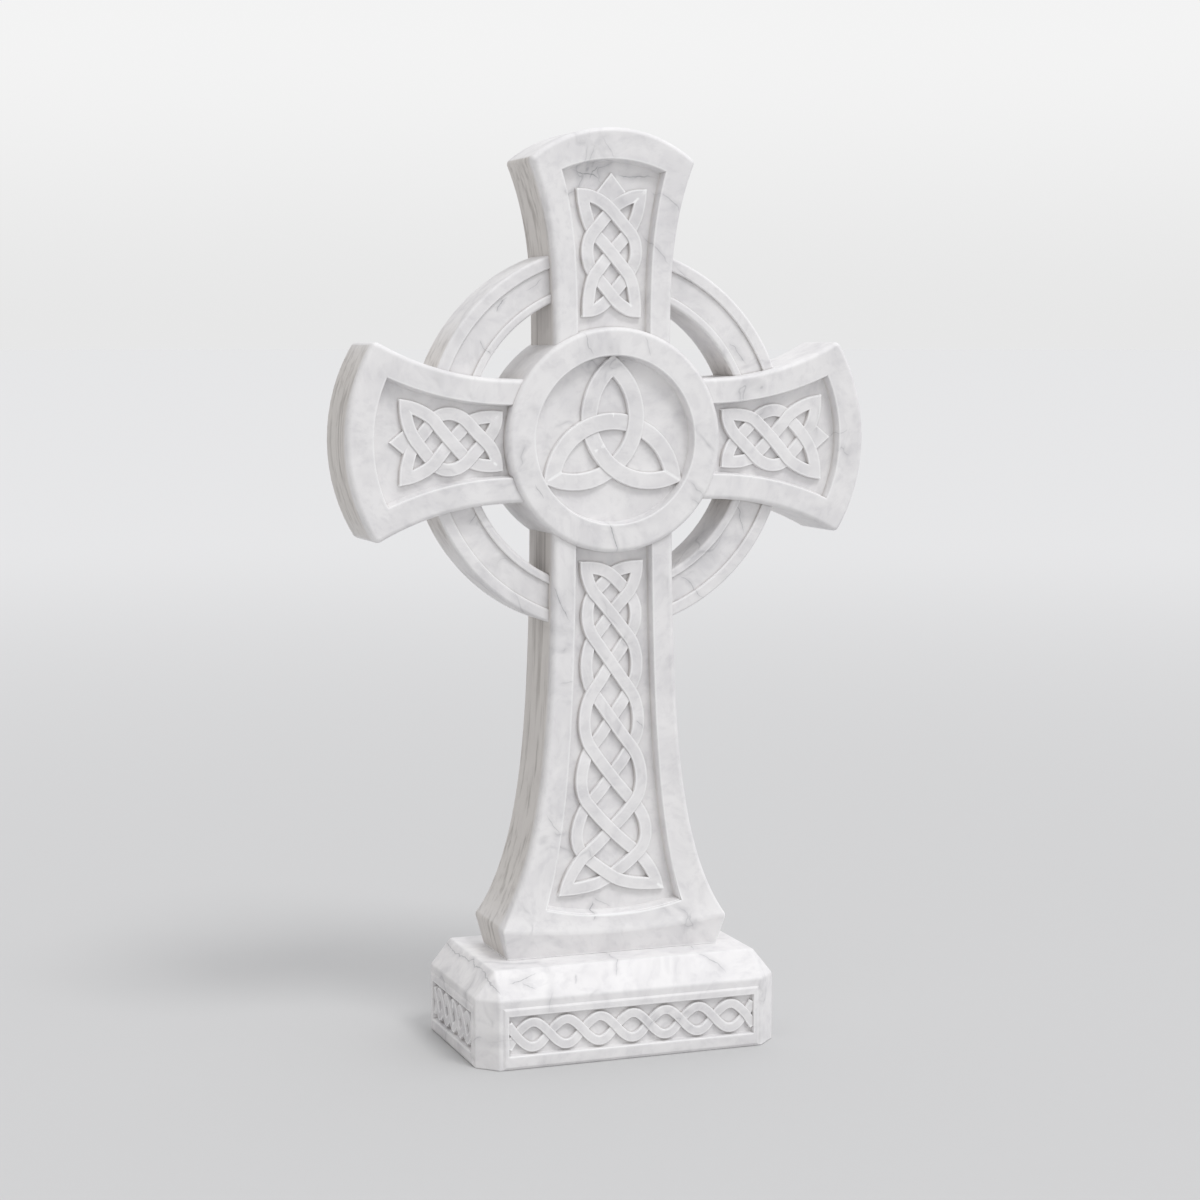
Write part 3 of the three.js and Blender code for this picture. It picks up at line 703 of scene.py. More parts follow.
# %% Knot sizes
ARM_CELLS = 3
TOP_KNOT = {"start": 0.3275, "end": 0.161, "outer_half": 0.0475, "inner_half": 0.0395, "point": 0.3485,
            "hand": 1, "rising_over": [(-1, 2), (-1, 4)]}
LEFT_KNOT = {"start": 0.290, "end": 0.151, "outer_half": 0.0540, "inner_half": 0.0375, "point": 0.303,
             "hand": -1, "rising_over": [(-1, 2), (-1, 4)]}
RIGHT_KNOT = {"start": 0.303, "end": 0.157, "outer_half": 0.0554, "inner_half": 0.0375, "point": 0.317,
              "hand": -1, "rising_over": [(-1, 2)]}
LOZENGE_SLOPE = 0.82
LOZENGE_RELIEF = 0.0044
LOZENGE_ARRIS = 0.0010

SHAFT_CELLS = 7
SHAFT_KNOT_TOP = 0.652
SHAFT_KNOT_BASE = 0.203
SHAFT_FILL = 0.8
SHAFT_CROWDING = 0.8
CROWDING_TURN = 0.65
SHAFT_RISING_OVER = [(1, 2), (-1, 6), (1, 10), (-1, 12), (1, 12)]


# %% Arm and shaft knots
def plait(cells, start, end, half_at, crowding, hand, rising_over):
    """The bodies of a plait between two reaches, with its outer half width given at any reach."""
    def reach_at(v):
        share = v / (2 * cells)
        return start + (end - start) * (share - crowding * share * (1 - share) * (CROWDING_TURN - share))

    inset = CORD["width"] / 2 / abs(reach_at(1) - start)
    points, marks = plait_line(cells, inset, hand, rising_over)
    reach = reach_at(points[:, 1])
    scale = (half_at(reach) - CORD["width"] / 2) / (BULGE + POINT) * 2
    line = np.stack([points[:, 0] * scale, reach], 1)
    return cords(line, marks, True, FLOOR, **CORD)


def lozenge(crossing, point):
    """The flat diamond behind the outer crossing of an arm's knot."""
    shoulder = (point + crossing) / 2
    half = (point - shoulder) * LOZENGE_SLOPE
    outline = np.array([[0, crossing], [half, shoulder], [0, point], [-half, shoulder]])
    return slab("lozenge", outline, FLOOR - LOZENGE_RELIEF, FLOOR + EMBED, LOZENGE_ARRIS)


def arm_knot(start, end, outer_half, inner_half, point, hand, rising_over):
    slope = (outer_half - inner_half) / (start - end)

    def half_at(reach):
        return inner_half + slope * (reach - end)

    bodies = plait(ARM_CELLS, start, end, half_at, 0, hand, rising_over)
    crossing = start - (start - end) / (2 * ARM_CELLS)
    return join(bodies[0], *bodies[1:], lozenge(crossing, point))


def shaft_knot():
    bodies = plait(SHAFT_CELLS, SHAFT_KNOT_TOP, SHAFT_KNOT_BASE,
                   lambda z: SHAFT_FILL * shaft_field_half(z), SHAFT_CROWDING, 1, SHAFT_RISING_OVER)
    return join(bodies[0], *bodies[1:])


knots = [
    to_top(arm_knot(**TOP_KNOT)),
    to_side(arm_knot(**RIGHT_KNOT), 1),
    to_side(arm_knot(**LEFT_KNOT), -1),
    shaft_knot(),
]
for knot in knots:
    print("knot:", litres(knot))
body = join(body, *knots)
print("cross with its knots:", litres(body))

# %% [markdown]
# ## Boss and trefoil
#
# The boss stands 7 mm proud where the arms meet, and its own field holds a three-cornered knot: three
# arcs of one radius that meet in points at the edge of the field. Each arc passes under its neighbour
# once and over it once.

# %% Boss
BOSS_RADIUS = 0.148
BOSS_PROUD = 0.007
BOSS_FIELD_RADIUS = 0.111
BOSS_SINK = 0.018
BOSS_EDGE_STEPS = 8
BOSS_FACE = FACE - BOSS_PROUD
BOSS_FLOOR = BOSS_FACE + BOSS_SINK


def boss():
    front = [(BOSS_RADIUS - inset, BOSS_FACE + depth) for inset, depth in quarter(ARRIS, BOSS_EDGE_STEPS)]
    back = [(radius, -depth) for radius, depth in reversed(front)]
    return turned("boss", [(0, BOSS_FACE)] + front + back + [(0, -BOSS_FACE)], False)


def boss_cutter():
    edge = field_levels(BOSS_FIELD_RADIUS, BOSS_FACE, BOSS_SINK, BATTER)
    return turned("boss_field", [(0, BOSS_FACE - CLEAR)] + edge + [(0, BOSS_FLOOR)], False)


body = cut(join(body, boss()), boss_cutter())
print("cross with its boss:", litres(body))

# %% Trefoil
TREFOIL_ARC = 0.0855
TREFOIL_OFFSET = 0.061
TREFOIL_CORD = dict(CORD, width=0.022, edge=0.0014)
TREFOIL_STEPS = 12


def trefoil():
    """The closed cord of three arcs, each centred below the middle and turned by a third."""
    spread = math.sqrt(TREFOIL_ARC ** 2 - 0.75 * TREFOIL_OFFSET ** 2)

    def angle_at(radius, around):
        return math.atan2(radius * math.sin(around) + TREFOIL_OFFSET, radius * math.cos(around))

    tip = angle_at(TREFOIL_OFFSET / 2 + spread, -math.pi / 6)
    crossing = angle_at(spread - TREFOIL_OFFSET / 2, math.pi / 6)
    points, marks = [], []
    for k in range(3):
        turn = -k * 2 * math.pi / 3
        legs = [(tip, crossing, "tip"), (crossing, math.pi - crossing, "under"),
                (math.pi - crossing, math.pi - tip, "")]
        for start, end, mark in legs:
            for i in range(TREFOIL_STEPS):
                angle = start + (end - start) * i / TREFOIL_STEPS
                x = TREFOIL_ARC * math.cos(angle)
                y = TREFOIL_ARC * math.sin(angle) - TREFOIL_OFFSET
                points.append((x * math.cos(turn) - y * math.sin(turn),
                               CENTRE + x * math.sin(turn) + y * math.cos(turn)))
                middle = mark == "under" and i == TREFOIL_STEPS // 2
                marks.append("cut" if middle else mark if i == 0 else "")
    return cords(np.array(points), marks, True, BOSS_FLOOR, **TREFOIL_CORD)


cross = join(body, *trefoil())
cross.name = "carved_cross"
print("finished cross:", litres(cross))

# %% [markdown]
# ## Plinth
#
# The plinth is a low block with its corners cut and its top weathered, so that rain runs off. On each
# face a panel stands just under 2 mm proud, and its edges slope back to the wall. The block is convex apart
# from its panels, so a hull round its corner points makes it at once, and a Bevel modifier softens every
# arris, since none of its edges is short.

# %% Plinth block
PLINTH_HALF_WIDTH = plinth_high.x
PLINTH_HALF_DEPTH = plinth_high.y
PLINTH_TOP = plinth_high.z
PLINTH_WALL = 0.0915
PLINTH_CUT = 0.0295
PANEL_PROUD = 0.0018
PANEL_TOP = 0.082
PANEL_BASE = 0.0015
PANEL_END = 0.003
PANEL_SLOPE = 0.0036
PANEL_SHOULDER = 0.0022
PLINTH_ARRIS = 0.0022
SOFTEN_FROM = math.radians(10)
FLAT_WITHIN = 0.001
PANEL_FIELD_TOP = 0.0708
PANEL_FIELD_BASE = 0.0183
PANEL_FRAME = 0.008
PANEL_SINK = 0.008
PANEL_BATTER = 0.0008


def plinth_block():
    wall_x = PLINTH_HALF_WIDTH - PANEL_PROUD
    wall_y = PLINTH_HALF_DEPTH - PANEL_PROUD
    run_in = PLINTH_CUT - PANEL_PROUD
    corner = run_in - PANEL_PROUD
    work = bmesh.new()
    for sx in (-1, 1):
        for sy in (-1, 1):
            for z in (0, PLINTH_WALL):
                work.verts.new((sx * (wall_x - corner), sy * wall_y, z))
                work.verts.new((sx * wall_x, sy * (wall_y - corner), z))
            work.verts.new((sx * (wall_x - run_in), sy * (wall_y - run_in), PLINTH_TOP))
    bmesh.ops.convex_hull(work, input=work.verts)
    bmesh.ops.dissolve_limit(work, angle_limit=FLAT_WITHIN, verts=work.verts, edges=work.edges)
    mesh = bpy.data.meshes.new("plinth_block")
    work.to_mesh(mesh)
    work.free()
    block = bpy.data.objects.new("plinth_block", mesh)
    bpy.context.scene.collection.objects.link(block)
    soften = block.modifiers.new("soften", "BEVEL")
    soften.width = PLINTH_ARRIS
    soften.segments = 4
    soften.limit_method = "ANGLE"
    soften.angle_limit = SOFTEN_FROM
    return settle(block)


plinth = plinth_block()
print("plinth block:", litres(plinth))

# %% [markdown]
# ## Twist panels
#
# The front and both ends of the plinth have a sunk field with two cords that cross between round eyes.
# The back panel is left plain. A sine draws the twist: each cord swings over and back once between two
# crossings, and they are each other's mirror image.

# %% Twist panels
TWIST_CORD = {"width": 0.0120, "relief": 0.0055, "dip": 0.0018, "edge": 0.0010, "crown": 0.0001}
TWIST_HALF_HEIGHT = 0.0226
TWIST_END_RUN = 0.010
TWIST_END_LIFT = 0.95
TWIST_STEPS = 16
FRONT_EYES = 7
END_EYES = 5


def rectangle(half, base, top):
    return np.array([[-half, base], [half, base], [half, top], [-half, top]])


def raised_panel(half, front):
    """A panel whose edges slope back to the wall, with a soft shoulder."""
    levels = [(-PANEL_SLOPE, front), (-PANEL_SHOULDER, front + PANEL_PROUD / 4), (0, front + PANEL_PROUD),
              (0, front + PANEL_PROUD + EMBED)]
    return stack("panel", rectangle(half, PANEL_BASE, PANEL_TOP), levels)


def twist(eyes, half, floor):
    """Two cords that cross at both ends of every eye and run into the ends of the field."""
    middle = (PANEL_FIELD_BASE + PANEL_FIELD_TOP) / 2
    swing = TWIST_HALF_HEIGHT - TWIST_CORD["width"] / 2
    pitch = 2 * (half - TWIST_END_RUN) / eyes
    first = -pitch * eyes / 2
    bodies = []
    for sign in (1, -1):
        def rises(k):
            return (k % 2 == 0) == (sign > 0)

        points = [(-half - EMBED / 2, middle - sign * swing * TWIST_END_LIFT)]
        marks = ["cut"]
        for k in range(eyes + 1):
            points.append((first + k * pitch, middle))
            marks.append("under" if rises(k) else "")
            for i in range(1, TWIST_STEPS) if k < eyes else ():
                lift = math.sin(math.pi * i / TWIST_STEPS) * swing
                points.append((first + (k + i / TWIST_STEPS) * pitch, middle + (lift if rises(k) else -lift)))
                marks.append("cut" if i == TWIST_STEPS // 2 else "")
        points.append((half + EMBED / 2, middle + (1 if rises(eyes) else -1) * swing * TWIST_END_LIFT))
        marks.append("cut")
        bodies += cords(np.array(points), marks, False, floor, **TWIST_CORD)
    return bodies


def turned_to(bodies, angle):
    for piece in bodies:
        piece.data.transform(Matrix.Rotation(math.radians(angle), 4, "Z"))
    return bodies


sides = [
    (0, PLINTH_HALF_DEPTH, PLINTH_HALF_WIDTH, FRONT_EYES),
    (90, PLINTH_HALF_WIDTH, PLINTH_HALF_DEPTH, END_EYES),
    (180, PLINTH_HALF_DEPTH, PLINTH_HALF_WIDTH, 0),
    (270, PLINTH_HALF_WIDTH, PLINTH_HALF_DEPTH, END_EYES),
]
for angle, distance, half_width, eyes in sides:
    panel_half = half_width - PLINTH_CUT - PANEL_END
    field_half = panel_half - PANEL_FRAME
    raised = raised_panel(panel_half, -distance)
    sunk = field_cutter("panel_field", rectangle(field_half, PANEL_FIELD_BASE, PANEL_FIELD_TOP),
                        -distance, PANEL_SINK, PANEL_BATTER)
    plinth = join(plinth, *turned_to([raised], angle))
    plinth = cut(plinth, *turned_to([sunk], angle))
    if eyes:
        plinth = join(plinth, *turned_to(twist(eyes, field_half, -distance + PANEL_SINK), angle))
plinth.name = "carved_plinth"
print("finished plinth:", litres(plinth))

# %% [markdown]
# ## Shading
#
# Rounded arrises are a few narrow facets, and smooth shading hides their steps. Left alone it would also
# smear light across the wide flat faces beside them. The Weighted Normal modifier cures that where faces
# are whole, but a Boolean leaves a flat face in slivers. So this cell weighs each corner by the whole flat
# region that a face belongs to, and blends only across gentle bends.

# %% Weigh the normals
SMOOTH_UP_TO = math.cos(math.radians(26))
COPLANAR = math.cos(math.radians(0.25))


def flat_regions(work):
    """The area of the flat region that each face belongs to."""
    area = {}
    for face in work.faces:
        if face in area:
            continue
        region, waiting = {face}, [face]
        while waiting:
            for edge in waiting.pop().edges:
                for near in edge.link_faces:
                    if near not in region and near not in area and near.normal.dot(face.normal) > COPLANAR:
                        region.add(near)
                        waiting.append(near)
        total = sum(member.calc_area() for member in region)
        area.update(dict.fromkeys(region, total))
    return area


def smooth_over(piece):
    work = bmesh.new()
    work.from_mesh(piece.data)
    bmesh.ops.triangulate(work, faces=[face for face in work.faces if len(face.verts) > 4])
    area = flat_regions(work)
    normals = []
    for face in work.faces:
        for loop in face.loops:
            total = Vector()
            for other in loop.vert.link_loops:
                if other.face.normal.dot(face.normal) > SMOOTH_UP_TO:
                    total += other.face.normal * other.calc_angle() * area[other.face]
            normals.append(total.normalized() if total.length > 0 else face.normal.copy())
    work.to_mesh(piece.data)
    work.free()
    piece.data.shade_smooth()
    piece.data.normals_split_custom_set(normals)
    piece.data.calc_loop_triangles()
    print(piece.name, len(piece.data.loop_triangles), "triangles")


for piece in (cross, plinth):
    smooth_over(piece)

# %% [markdown]
# ## Marble
#
# The stone is a white marble with soft grey clouds and a few thin, broken veins, honed to a satin polish.
# A vein in marble is a crumpled sheet that runs through the block, so it turns the corner from face to
# face. Three-dimensional noise does the same. A photo texture would need unwrapping, and wouldn't.
#
# These small functions each add one or two nodes, so that the recipe below reads like a sum.

# %% Node helpers
def add_node(tree, kind, inputs=(), **settings):
    node = tree.nodes.new(kind)
    for key, value in settings.items():
        setattr(node, key, value)
    for key, value in dict(inputs).items():
        if isinstance(value, bpy.types.NodeSocket):
            tree.links.new(value, node.inputs[key])
        else:
            node.inputs[key].default_value = value
    return node


def maths(tree, operation, first, second=0.0):
    return add_node(tree, "ShaderNodeMath", {0: first, 1: second}, operation=operation).outputs[0]


def vector_maths(tree, operation, inputs):
    return add_node(tree, "ShaderNodeVectorMath", inputs, operation=operation).outputs[0]


def noise(tree, place, scale, detail=4.0, roughness=0.55):
    inputs = {"Vector": place, "Scale": scale, "Detail": detail, "Roughness": roughness}
    return add_node(tree, "ShaderNodeTexNoise", inputs)


def between(tree, value, low, high, to_low=0.0, to_high=1.0, course="SMOOTHSTEP"):
    inputs = {"Value": value, "From Min": low, "From Max": high, "To Min": to_low, "To Max": to_high}
    return add_node(tree, "ShaderNodeMapRange", inputs, interpolation_type=course).outputs[0]


def blend(tree, share, first, second):
    node = add_node(tree, "ShaderNodeMix", {"Factor": share}, data_type="RGBA")
    for name, value in (("A", first), ("B", second)):
        socket = next(s for s in node.inputs if s.name == name and s.type == "RGBA")
        if isinstance(value, bpy.types.NodeSocket):
            tree.links.new(value, socket)
        else:
            socket.default_value = value
    return next(s for s in node.outputs if s.type == "RGBA")


def bent(tree, place, scale, amount):
    """The same place pushed about by noise, so that what is drawn there comes out crumpled."""
    swirl = noise(tree, place, scale, 3.0).outputs["Color"]
    push = vector_maths(tree, "SUBTRACT", {0: swirl, 1: (0.5, 0.5, 0.5)})
    push = add_node(tree, "ShaderNodeVectorMath", {0: push, "Scale": amount}, operation="SCALE").outputs[0]
    return vector_maths(tree, "ADD", {0: place, 1: push})


# %% [markdown]
# A random vein lies where noise passes its middle value, which happens on sheets. A wide soft band of it
# makes a grey ghost, and a narrow band in its middle makes the dark line. Both are kept in patches,
# because real veins come and go.
#
# The veins that catch the eye on this stone are placed one by one. Each is a flat sheet that runs from
# front to back, and it is crumpled by bending the space in which it is drawn.

# %% Veins
CROSS_VEINS = [
    # x, z, slope in degrees, length, strength
    (-0.031, 1.157, -12, 0.036, 0.75),
    (-0.024, 1.160, 58, 0.020, 0.75),
    (0.038, 1.158, -6, 0.052, 0.60),
    (0.074, 1.125, -42, 0.044, 0.45),
    (0.060, 1.062, -52, 0.050, 0.45),
    (-0.010, 1.195, -54, 0.038, 0.35),
    (-0.147, 0.991, 50, 0.022, 0.70),
    (-0.172, 0.936, -60, 0.026, 0.55),
    (-0.104, 1.016, 30, 0.024, 0.35),
    (0.106, 1.029, -38, 0.036, 0.45),
    (0.186, 0.929, -41, 0.036, 0.50),
    (-0.040, 0.938, -66, 0.030, 0.45),
    (0.043, 0.938, -76, 0.026, 0.35),
    (-0.107, 0.747, -58, 0.022, 0.55),
    (-0.004, 0.684, -78, 0.040, 0.80),
    (0.192, 0.706, -74, 0.040, 0.55),
    (-0.188, 0.716, 62, 0.018, 0.50),
    (0.326, 0.819, 31, 0.024, 0.35),
    (0.119, 0.613, -38, 0.046, 0.55),
    (-0.072, 0.598, -72, 0.044, 0.65),
    (-0.066, 0.494, 8, 0.024, 0.35),
    (-0.087, 0.304, -51, 0.034, 0.45),
    (-0.029, 0.184, 64, 0.020, 0.75),
    (-0.012, 0.191, -39, 0.026, 0.40),
    (0.040, 0.430, -48, 0.018, 0.50),
    (-0.150, 0.262, 88, 0.046, 0.50),
]
PLINTH_VEINS = [
    (-0.148, 0.115, 12, 0.040, 0.55),
    (-0.143, 0.107, -34, 0.018, 0.45),
    (-0.078, 0.113, 80, 0.012, 0.60),
    (-0.017, 0.121, 62, 0.020, 0.50),
    (0.121, 0.116, -32, 0.040, 0.50),
    (-0.186, 0.112, -70, 0.030, 0.60),
]
VEIN_HALF_WIDTH = 0.0011
GHOST_HALF_WIDTH = 0.0075
GHOST_SHARE = 0.28
FADE_FROM = 0.25
FADE_TO = 0.62

SHEET_GHOST = 0.20
SHEET_LINE = 0.42
PATCH_SCALE = 0.8
PATCH_EDGE = 0.14


def vein_sheets(tree, place, scale, ghost, line, cover):
    """Random veins: how wide their ghosts and lines are on the noise, and how much of it they cover."""
    sheet = noise(tree, place, scale, 2.5, 0.5).outputs["Fac"]
    off = maths(tree, "ABSOLUTE", maths(tree, "SUBTRACT", sheet, 0.5))
    patches = noise(tree, place, scale * PATCH_SCALE, 3.0).outputs["Fac"]
    patch = between(tree, patches, cover, cover + PATCH_EDGE)
    soft = maths(tree, "MULTIPLY", between(tree, off, 0.0, ghost, SHEET_GHOST, 0.0), patch)
    thread = between(tree, off, 0.0, line, SHEET_LINE, 0.0)
    strong = maths(tree, "MULTIPLY", thread, maths(tree, "POWER", patch, 2.0))
    return maths(tree, "MAXIMUM", soft, strong)


def placed_vein(tree, place, x, z, slope, length, strength):
    """One vein: a thin line in a soft ghost, which both fade towards its ends."""
    angle = math.radians(slope)
    level = vector_maths(tree, "MULTIPLY", {0: place, 1: (1, 0, 1)})
    offset = vector_maths(tree, "SUBTRACT", {0: level, 1: (x, 0, z)})
    normal = (-math.sin(angle), 0, math.cos(angle))
    across = add_node(tree, "ShaderNodeVectorMath", {0: offset, 1: normal}, operation="DOT_PRODUCT")
    away = maths(tree, "ABSOLUTE", across.outputs["Value"])
    far = add_node(tree, "ShaderNodeVectorMath", {0: offset}, operation="LENGTH").outputs["Value"]
    line = between(tree, away, 0.0, VEIN_HALF_WIDTH, strength, 0.0)
    ghost = between(tree, away, 0.0, GHOST_HALF_WIDTH, strength * GHOST_SHARE, 0.0)
    fade = between(tree, far, length * FADE_FROM, length * FADE_TO, 1.0, 0.0)
    return maths(tree, "MULTIPLY", maths(tree, "MAXIMUM", line, ghost), fade)


# %% [markdown]
# The flanks were left from the saw, so they carry upright streaks. Their colour is painted darker and warmer
# than the honed face, which is painted shade on the sides.
#
# Every arris is painted whiter, so every cord is drawn with a pale line, which is a painted highlight. The
# corners at its foot are painted darker and draw a darker line, which is painted shade. Ambient occlusion
# finds both places: looking out from the stone it finds the corners, and looking in it finds the edges.

# %% Marble
WHITE = (0.85, 0.84, 0.84, 1)
CLOUD = (0.65, 0.64, 0.655, 1)
VEIN = (0.20, 0.20, 0.22, 1)
SHADED_SAWN_TONE = (0.66, 0.625, 0.585, 1)
STREAK = (0.32, 0.285, 0.25, 1)
PAINTED_EDGE_HIGHLIGHT = (0.98, 0.98, 0.98, 1)
PAINTED_CORNER_SHADE = (0.42, 0.40, 0.375, 1)
EDGE_REACH = 0.0034
CORNER_REACH = 0.0038
SIDEWAYS = (0.75, 0.95)
BEHIND_ARRIS = (-0.050, -0.034)


def sawn_and_shaded_flank_share(tree, at):
    """1 on the sides that look left or right and lie behind the front arris, whose colour is painted darker
    as shade, and 0 elsewhere.
    """
    normal = add_node(tree, "ShaderNodeNewGeometry").outputs["Normal"]
    across = add_node(tree, "ShaderNodeSeparateXYZ", {0: normal}).outputs["X"]
    depth = add_node(tree, "ShaderNodeSeparateXYZ", {0: at}).outputs["Y"]
    sideways = between(tree, maths(tree, "ABSOLUTE", across), *SIDEWAYS)
    return maths(tree, "MULTIPLY", sideways, between(tree, depth, *BEHIND_ARRIS))


def openness(tree, reach, inside):
    """How open a place is within a short reach, looking out from the stone or into it."""
    node = add_node(tree, "ShaderNodeAmbientOcclusion", {"Distance": reach}, samples=8, inside=inside)
    node.only_local = True
    return node.outputs["AO"]


CLOUD_LAYERS = [
    # scale, detail, where it starts and ends on the noise, strength
    (8.0, 4.0, 0.46, 0.74, 0.40),
    (22.0, 3.0, 0.38, 0.66, 0.34),
    (75.0, 3.0, 0.46, 0.70, 0.26),
]
VEIN_LAYERS = [
    # scale, half widths of the ghost and the line on the noise, cover
    (4.2, 0.045, 0.0065, 0.48),
    (13.0, 0.050, 0.010, 0.52),
]
STREAK_STRETCH = (95, 95, 5)
FLANK_SHADE_BLEND = 0.7
FLANK_ROUGHER = 0.15
POLISH = (0.44, 0.56)
GRAIN_SHARE = 0.10


def marble(name, shift, veins, sawn_and_shaded_sides):
    """The stone's material: clouds, veins, saw-cut flanks painted darker as shade, painted shade in the
    corners and painted highlights on the edges.
    """
    material = bpy.data.materials.new(name)
    material.use_nodes = True
    tree = material.node_tree
    shader = tree.nodes["Principled BSDF"]
    at = add_node(tree, "ShaderNodeTexCoord").outputs["Object"]
    moved = add_node(tree, "ShaderNodeMapping", {"Vector": at, "Location": shift}).outputs[0]
    place = bent(tree, bent(tree, moved, 4.0, 0.16), 30.0, 0.009)

    shade = 0.0
    for scale, detail, low, high, strength in CLOUD_LAYERS:
        layer = between(tree, noise(tree, place, scale, detail, 0.6).outputs["Fac"], low, high, 0.0, strength)
        shade = maths(tree, "ADD", layer, shade)
    colour = blend(tree, shade, WHITE, CLOUD)
    grey = 0.0
    for layer in VEIN_LAYERS:
        grey = maths(tree, "MAXIMUM", vein_sheets(tree, place, *layer), grey)
    crumpled = bent(tree, bent(tree, at, 22.0, 0.022), 90.0, 0.006)
    for vein in veins:
        grey = maths(tree, "MAXIMUM", grey, placed_vein(tree, crumpled, *vein))
    colour = blend(tree, grey, colour, VEIN)

    gloss = noise(tree, moved, 18.0, 3.0).outputs["Fac"]
    polish = between(tree, gloss, 0.3, 0.7, *POLISH)
    if sawn_and_shaded_sides:
        upright = add_node(tree, "ShaderNodeMapping", {"Vector": moved, "Scale": STREAK_STRETCH}).outputs[0]
        streaks = between(tree, noise(tree, upright, 1.0, 4.0, 0.6).outputs["Fac"], 0.46, 0.72, 0.0, 0.9)
        # Sideways faces are painted a darker, warmer colour, which is painted shade; the upright streaks on
        # them are real marks.
        flank = sawn_and_shaded_flank_share(tree, at)
        shaded_sawn_colour = blend(tree, streaks, SHADED_SAWN_TONE, STREAK)
        colour = blend(tree, maths(tree, "MULTIPLY", flank, FLANK_SHADE_BLEND), colour, shaded_sawn_colour)
        polish = maths(tree, "ADD", polish, maths(tree, "MULTIPLY", flank, FLANK_ROUGHER))

    # Painted shade: the colour darkens in the corners that ambient occlusion finds.
    corner = between(tree, openness(tree, CORNER_REACH, False), 0.45, 0.90, 0.42, 0.0)
    colour = blend(tree, corner, colour, PAINTED_CORNER_SHADE)
    # Painted highlight: the colour whitens along the convex edges that ambient occlusion finds.
    edge = between(tree, openness(tree, EDGE_REACH, True), 0.62, 0.97, 1.0, 0.0)
    colour = blend(tree, edge, colour, PAINTED_EDGE_HIGHLIGHT)
    tree.links.new(colour, shader.inputs["Base Color"])
    tree.links.new(polish, shader.inputs["Roughness"])

    grain = noise(tree, moved, 260.0, 3.0).outputs["Fac"]
    hand = noise(tree, moved, 28.0, 2.0).outputs["Fac"]
    relief = maths(tree, "ADD", hand, maths(tree, "MULTIPLY", grain, GRAIN_SHARE))
    bump = add_node(tree, "ShaderNodeBump", {"Height": relief, "Strength": 0.25, "Distance": 0.0012})
    tree.links.new(bump.outputs[0], shader.inputs["Normal"])
    return material


for piece, node_name, shift, veins, sawn_and_shaded_sides in (
    (cross, "cross", (0.3, 1.7, 0.2), CROSS_VEINS, True),
    (plinth, "plinth", (2.1, 0.4, 5.3), PLINTH_VEINS, False),
):
    piece.data.materials.clear()
    piece.data.materials.append(marble(f"{node_name}_marble", shift, veins, sawn_and_shaded_sides))
    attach(piece, "root")
    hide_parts(node_name)
    print("finished", piece.name)

# %% [markdown]
# ## Floor and light
#
# A wide pale floor meets a pale backdrop with no line between them, so nothing competes with the stone.
# The floor's colour is painted a little darker near the stone, as painted shade, and lightens with distance
# until it has the backdrop's brightness. A curved paper sweep would do that too, but then the stone couldn't
# be seen from behind.

# %% Floor
FLOOR_RADIUS = 400
NEAR_PAINTED_SHADE = 0.572
FAR_TONE = 0.693
NEAR_EDGE = 1.0
FAR_EDGE = 9.0

bpy.ops.mesh.primitive_circle_add(vertices=96, radius=FLOOR_RADIUS, fill_type="NGON")
ground = bpy.context.object
ground.name = "studio_floor"
paper = bpy.data.materials.new("studio_paper")
paper.use_nodes = True
paper_tree = paper.node_tree
paper_place = add_node(paper_tree, "ShaderNodeTexCoord").outputs["Object"]
reach = add_node(paper_tree, "ShaderNodeVectorMath", {0: paper_place}, operation="LENGTH").outputs["Value"]
# Painted shade: the floor's colour is darker near the stone and lightens with distance.
floor_shade = between(paper_tree, reach, NEAR_EDGE, FAR_EDGE, NEAR_PAINTED_SHADE, FAR_TONE)
paper_shader = paper_tree.nodes["Principled BSDF"]
paper_tree.links.new(floor_shade, paper_shader.inputs["Base Color"])
paper_shader.inputs["Roughness"].default_value = 0.9
paper_shader.inputs["Specular IOR Level"].default_value = 0.0
ground.data.materials.append(paper)

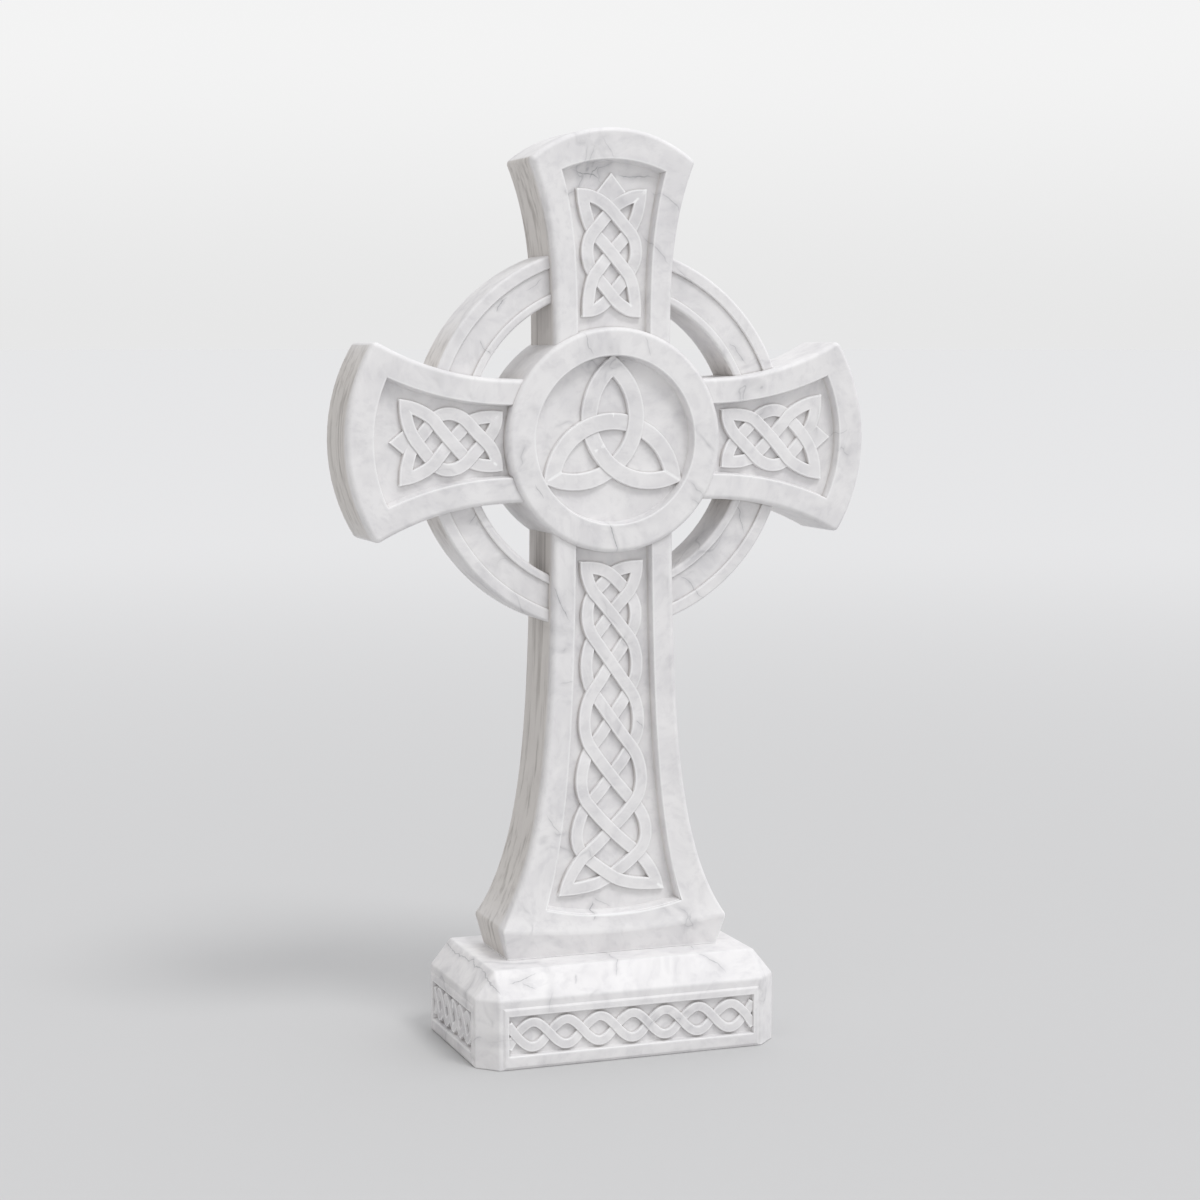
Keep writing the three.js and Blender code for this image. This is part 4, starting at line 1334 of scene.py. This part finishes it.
# %% [markdown]
# The light is a studio whose pale walls are bright overhead and to the right, and dimmer and warmer low on
# the left. One broad sun-like lamp from above the camera adds crisp edges to the shadows. A lamp far away
# lights stone and floor alike, while a near one would leave a pool of light. The walls that the camera
# sees behind the stone are a plain backdrop of their own.

# %% Light
BRIGHT_SIDE = (0.33, -0.09, 0.94)
DIM_WALL = (0.29, 0.27, 0.245, 1)
BRIGHT_WALL = (1.15, 1.16, 1.19, 1)
DIM_AT = -0.35
BACKDROP_LOW = (0.80, 0.80, 0.80, 1)
BACKDROP_HIGH = (0.90, 0.90, 0.90, 1)
BACKDROP_RISE = 0.12
KEY_FROM = (0.20, -0.54, 0.82)
KEY_STRENGTH = 0.9
KEY_SPREAD = 18

world = bpy.context.scene.world or bpy.data.worlds.new("studio")
bpy.context.scene.world = world
world.use_nodes = True
sky_tree = world.node_tree
heading = add_node(sky_tree, "ShaderNodeTexCoord").outputs["Generated"]
facing = add_node(sky_tree, "ShaderNodeVectorMath", {0: heading, 1: BRIGHT_SIDE}, operation="DOT_PRODUCT")
share = between(sky_tree, facing.outputs["Value"], DIM_AT, 1.0, course="LINEAR")
walls = blend(sky_tree, share, DIM_WALL, BRIGHT_WALL)
height = add_node(sky_tree, "ShaderNodeSeparateXYZ", {0: heading}).outputs["Z"]
backdrop = blend(sky_tree, between(sky_tree, height, 0.0, BACKDROP_RISE), BACKDROP_LOW, BACKDROP_HIGH)
seen = add_node(sky_tree, "ShaderNodeLightPath").outputs["Is Camera Ray"]
sky_tree.links.new(blend(sky_tree, seen, walls, backdrop), sky_tree.nodes["Background"].inputs["Color"])

key_data = bpy.data.lights.new("key", "SUN")
key_data.energy = KEY_STRENGTH
key_data.angle = math.radians(KEY_SPREAD)
key = bpy.data.objects.new("key", key_data)
key.rotation_euler = Vector(KEY_FROM).to_track_quat("Z", "Y").to_euler()
bpy.context.scene.collection.objects.link(key)
bpy.context.scene.view_settings.view_transform = "Standard"
print("walls brightest towards", BRIGHT_SIDE, "and the key lamp from", KEY_FROM)

# %% [markdown]
# ## Update the scene
#
# The visual stone has to stay in the box of the solids that it stands for.

# %% Update the view layer
bpy.context.view_layer.update()
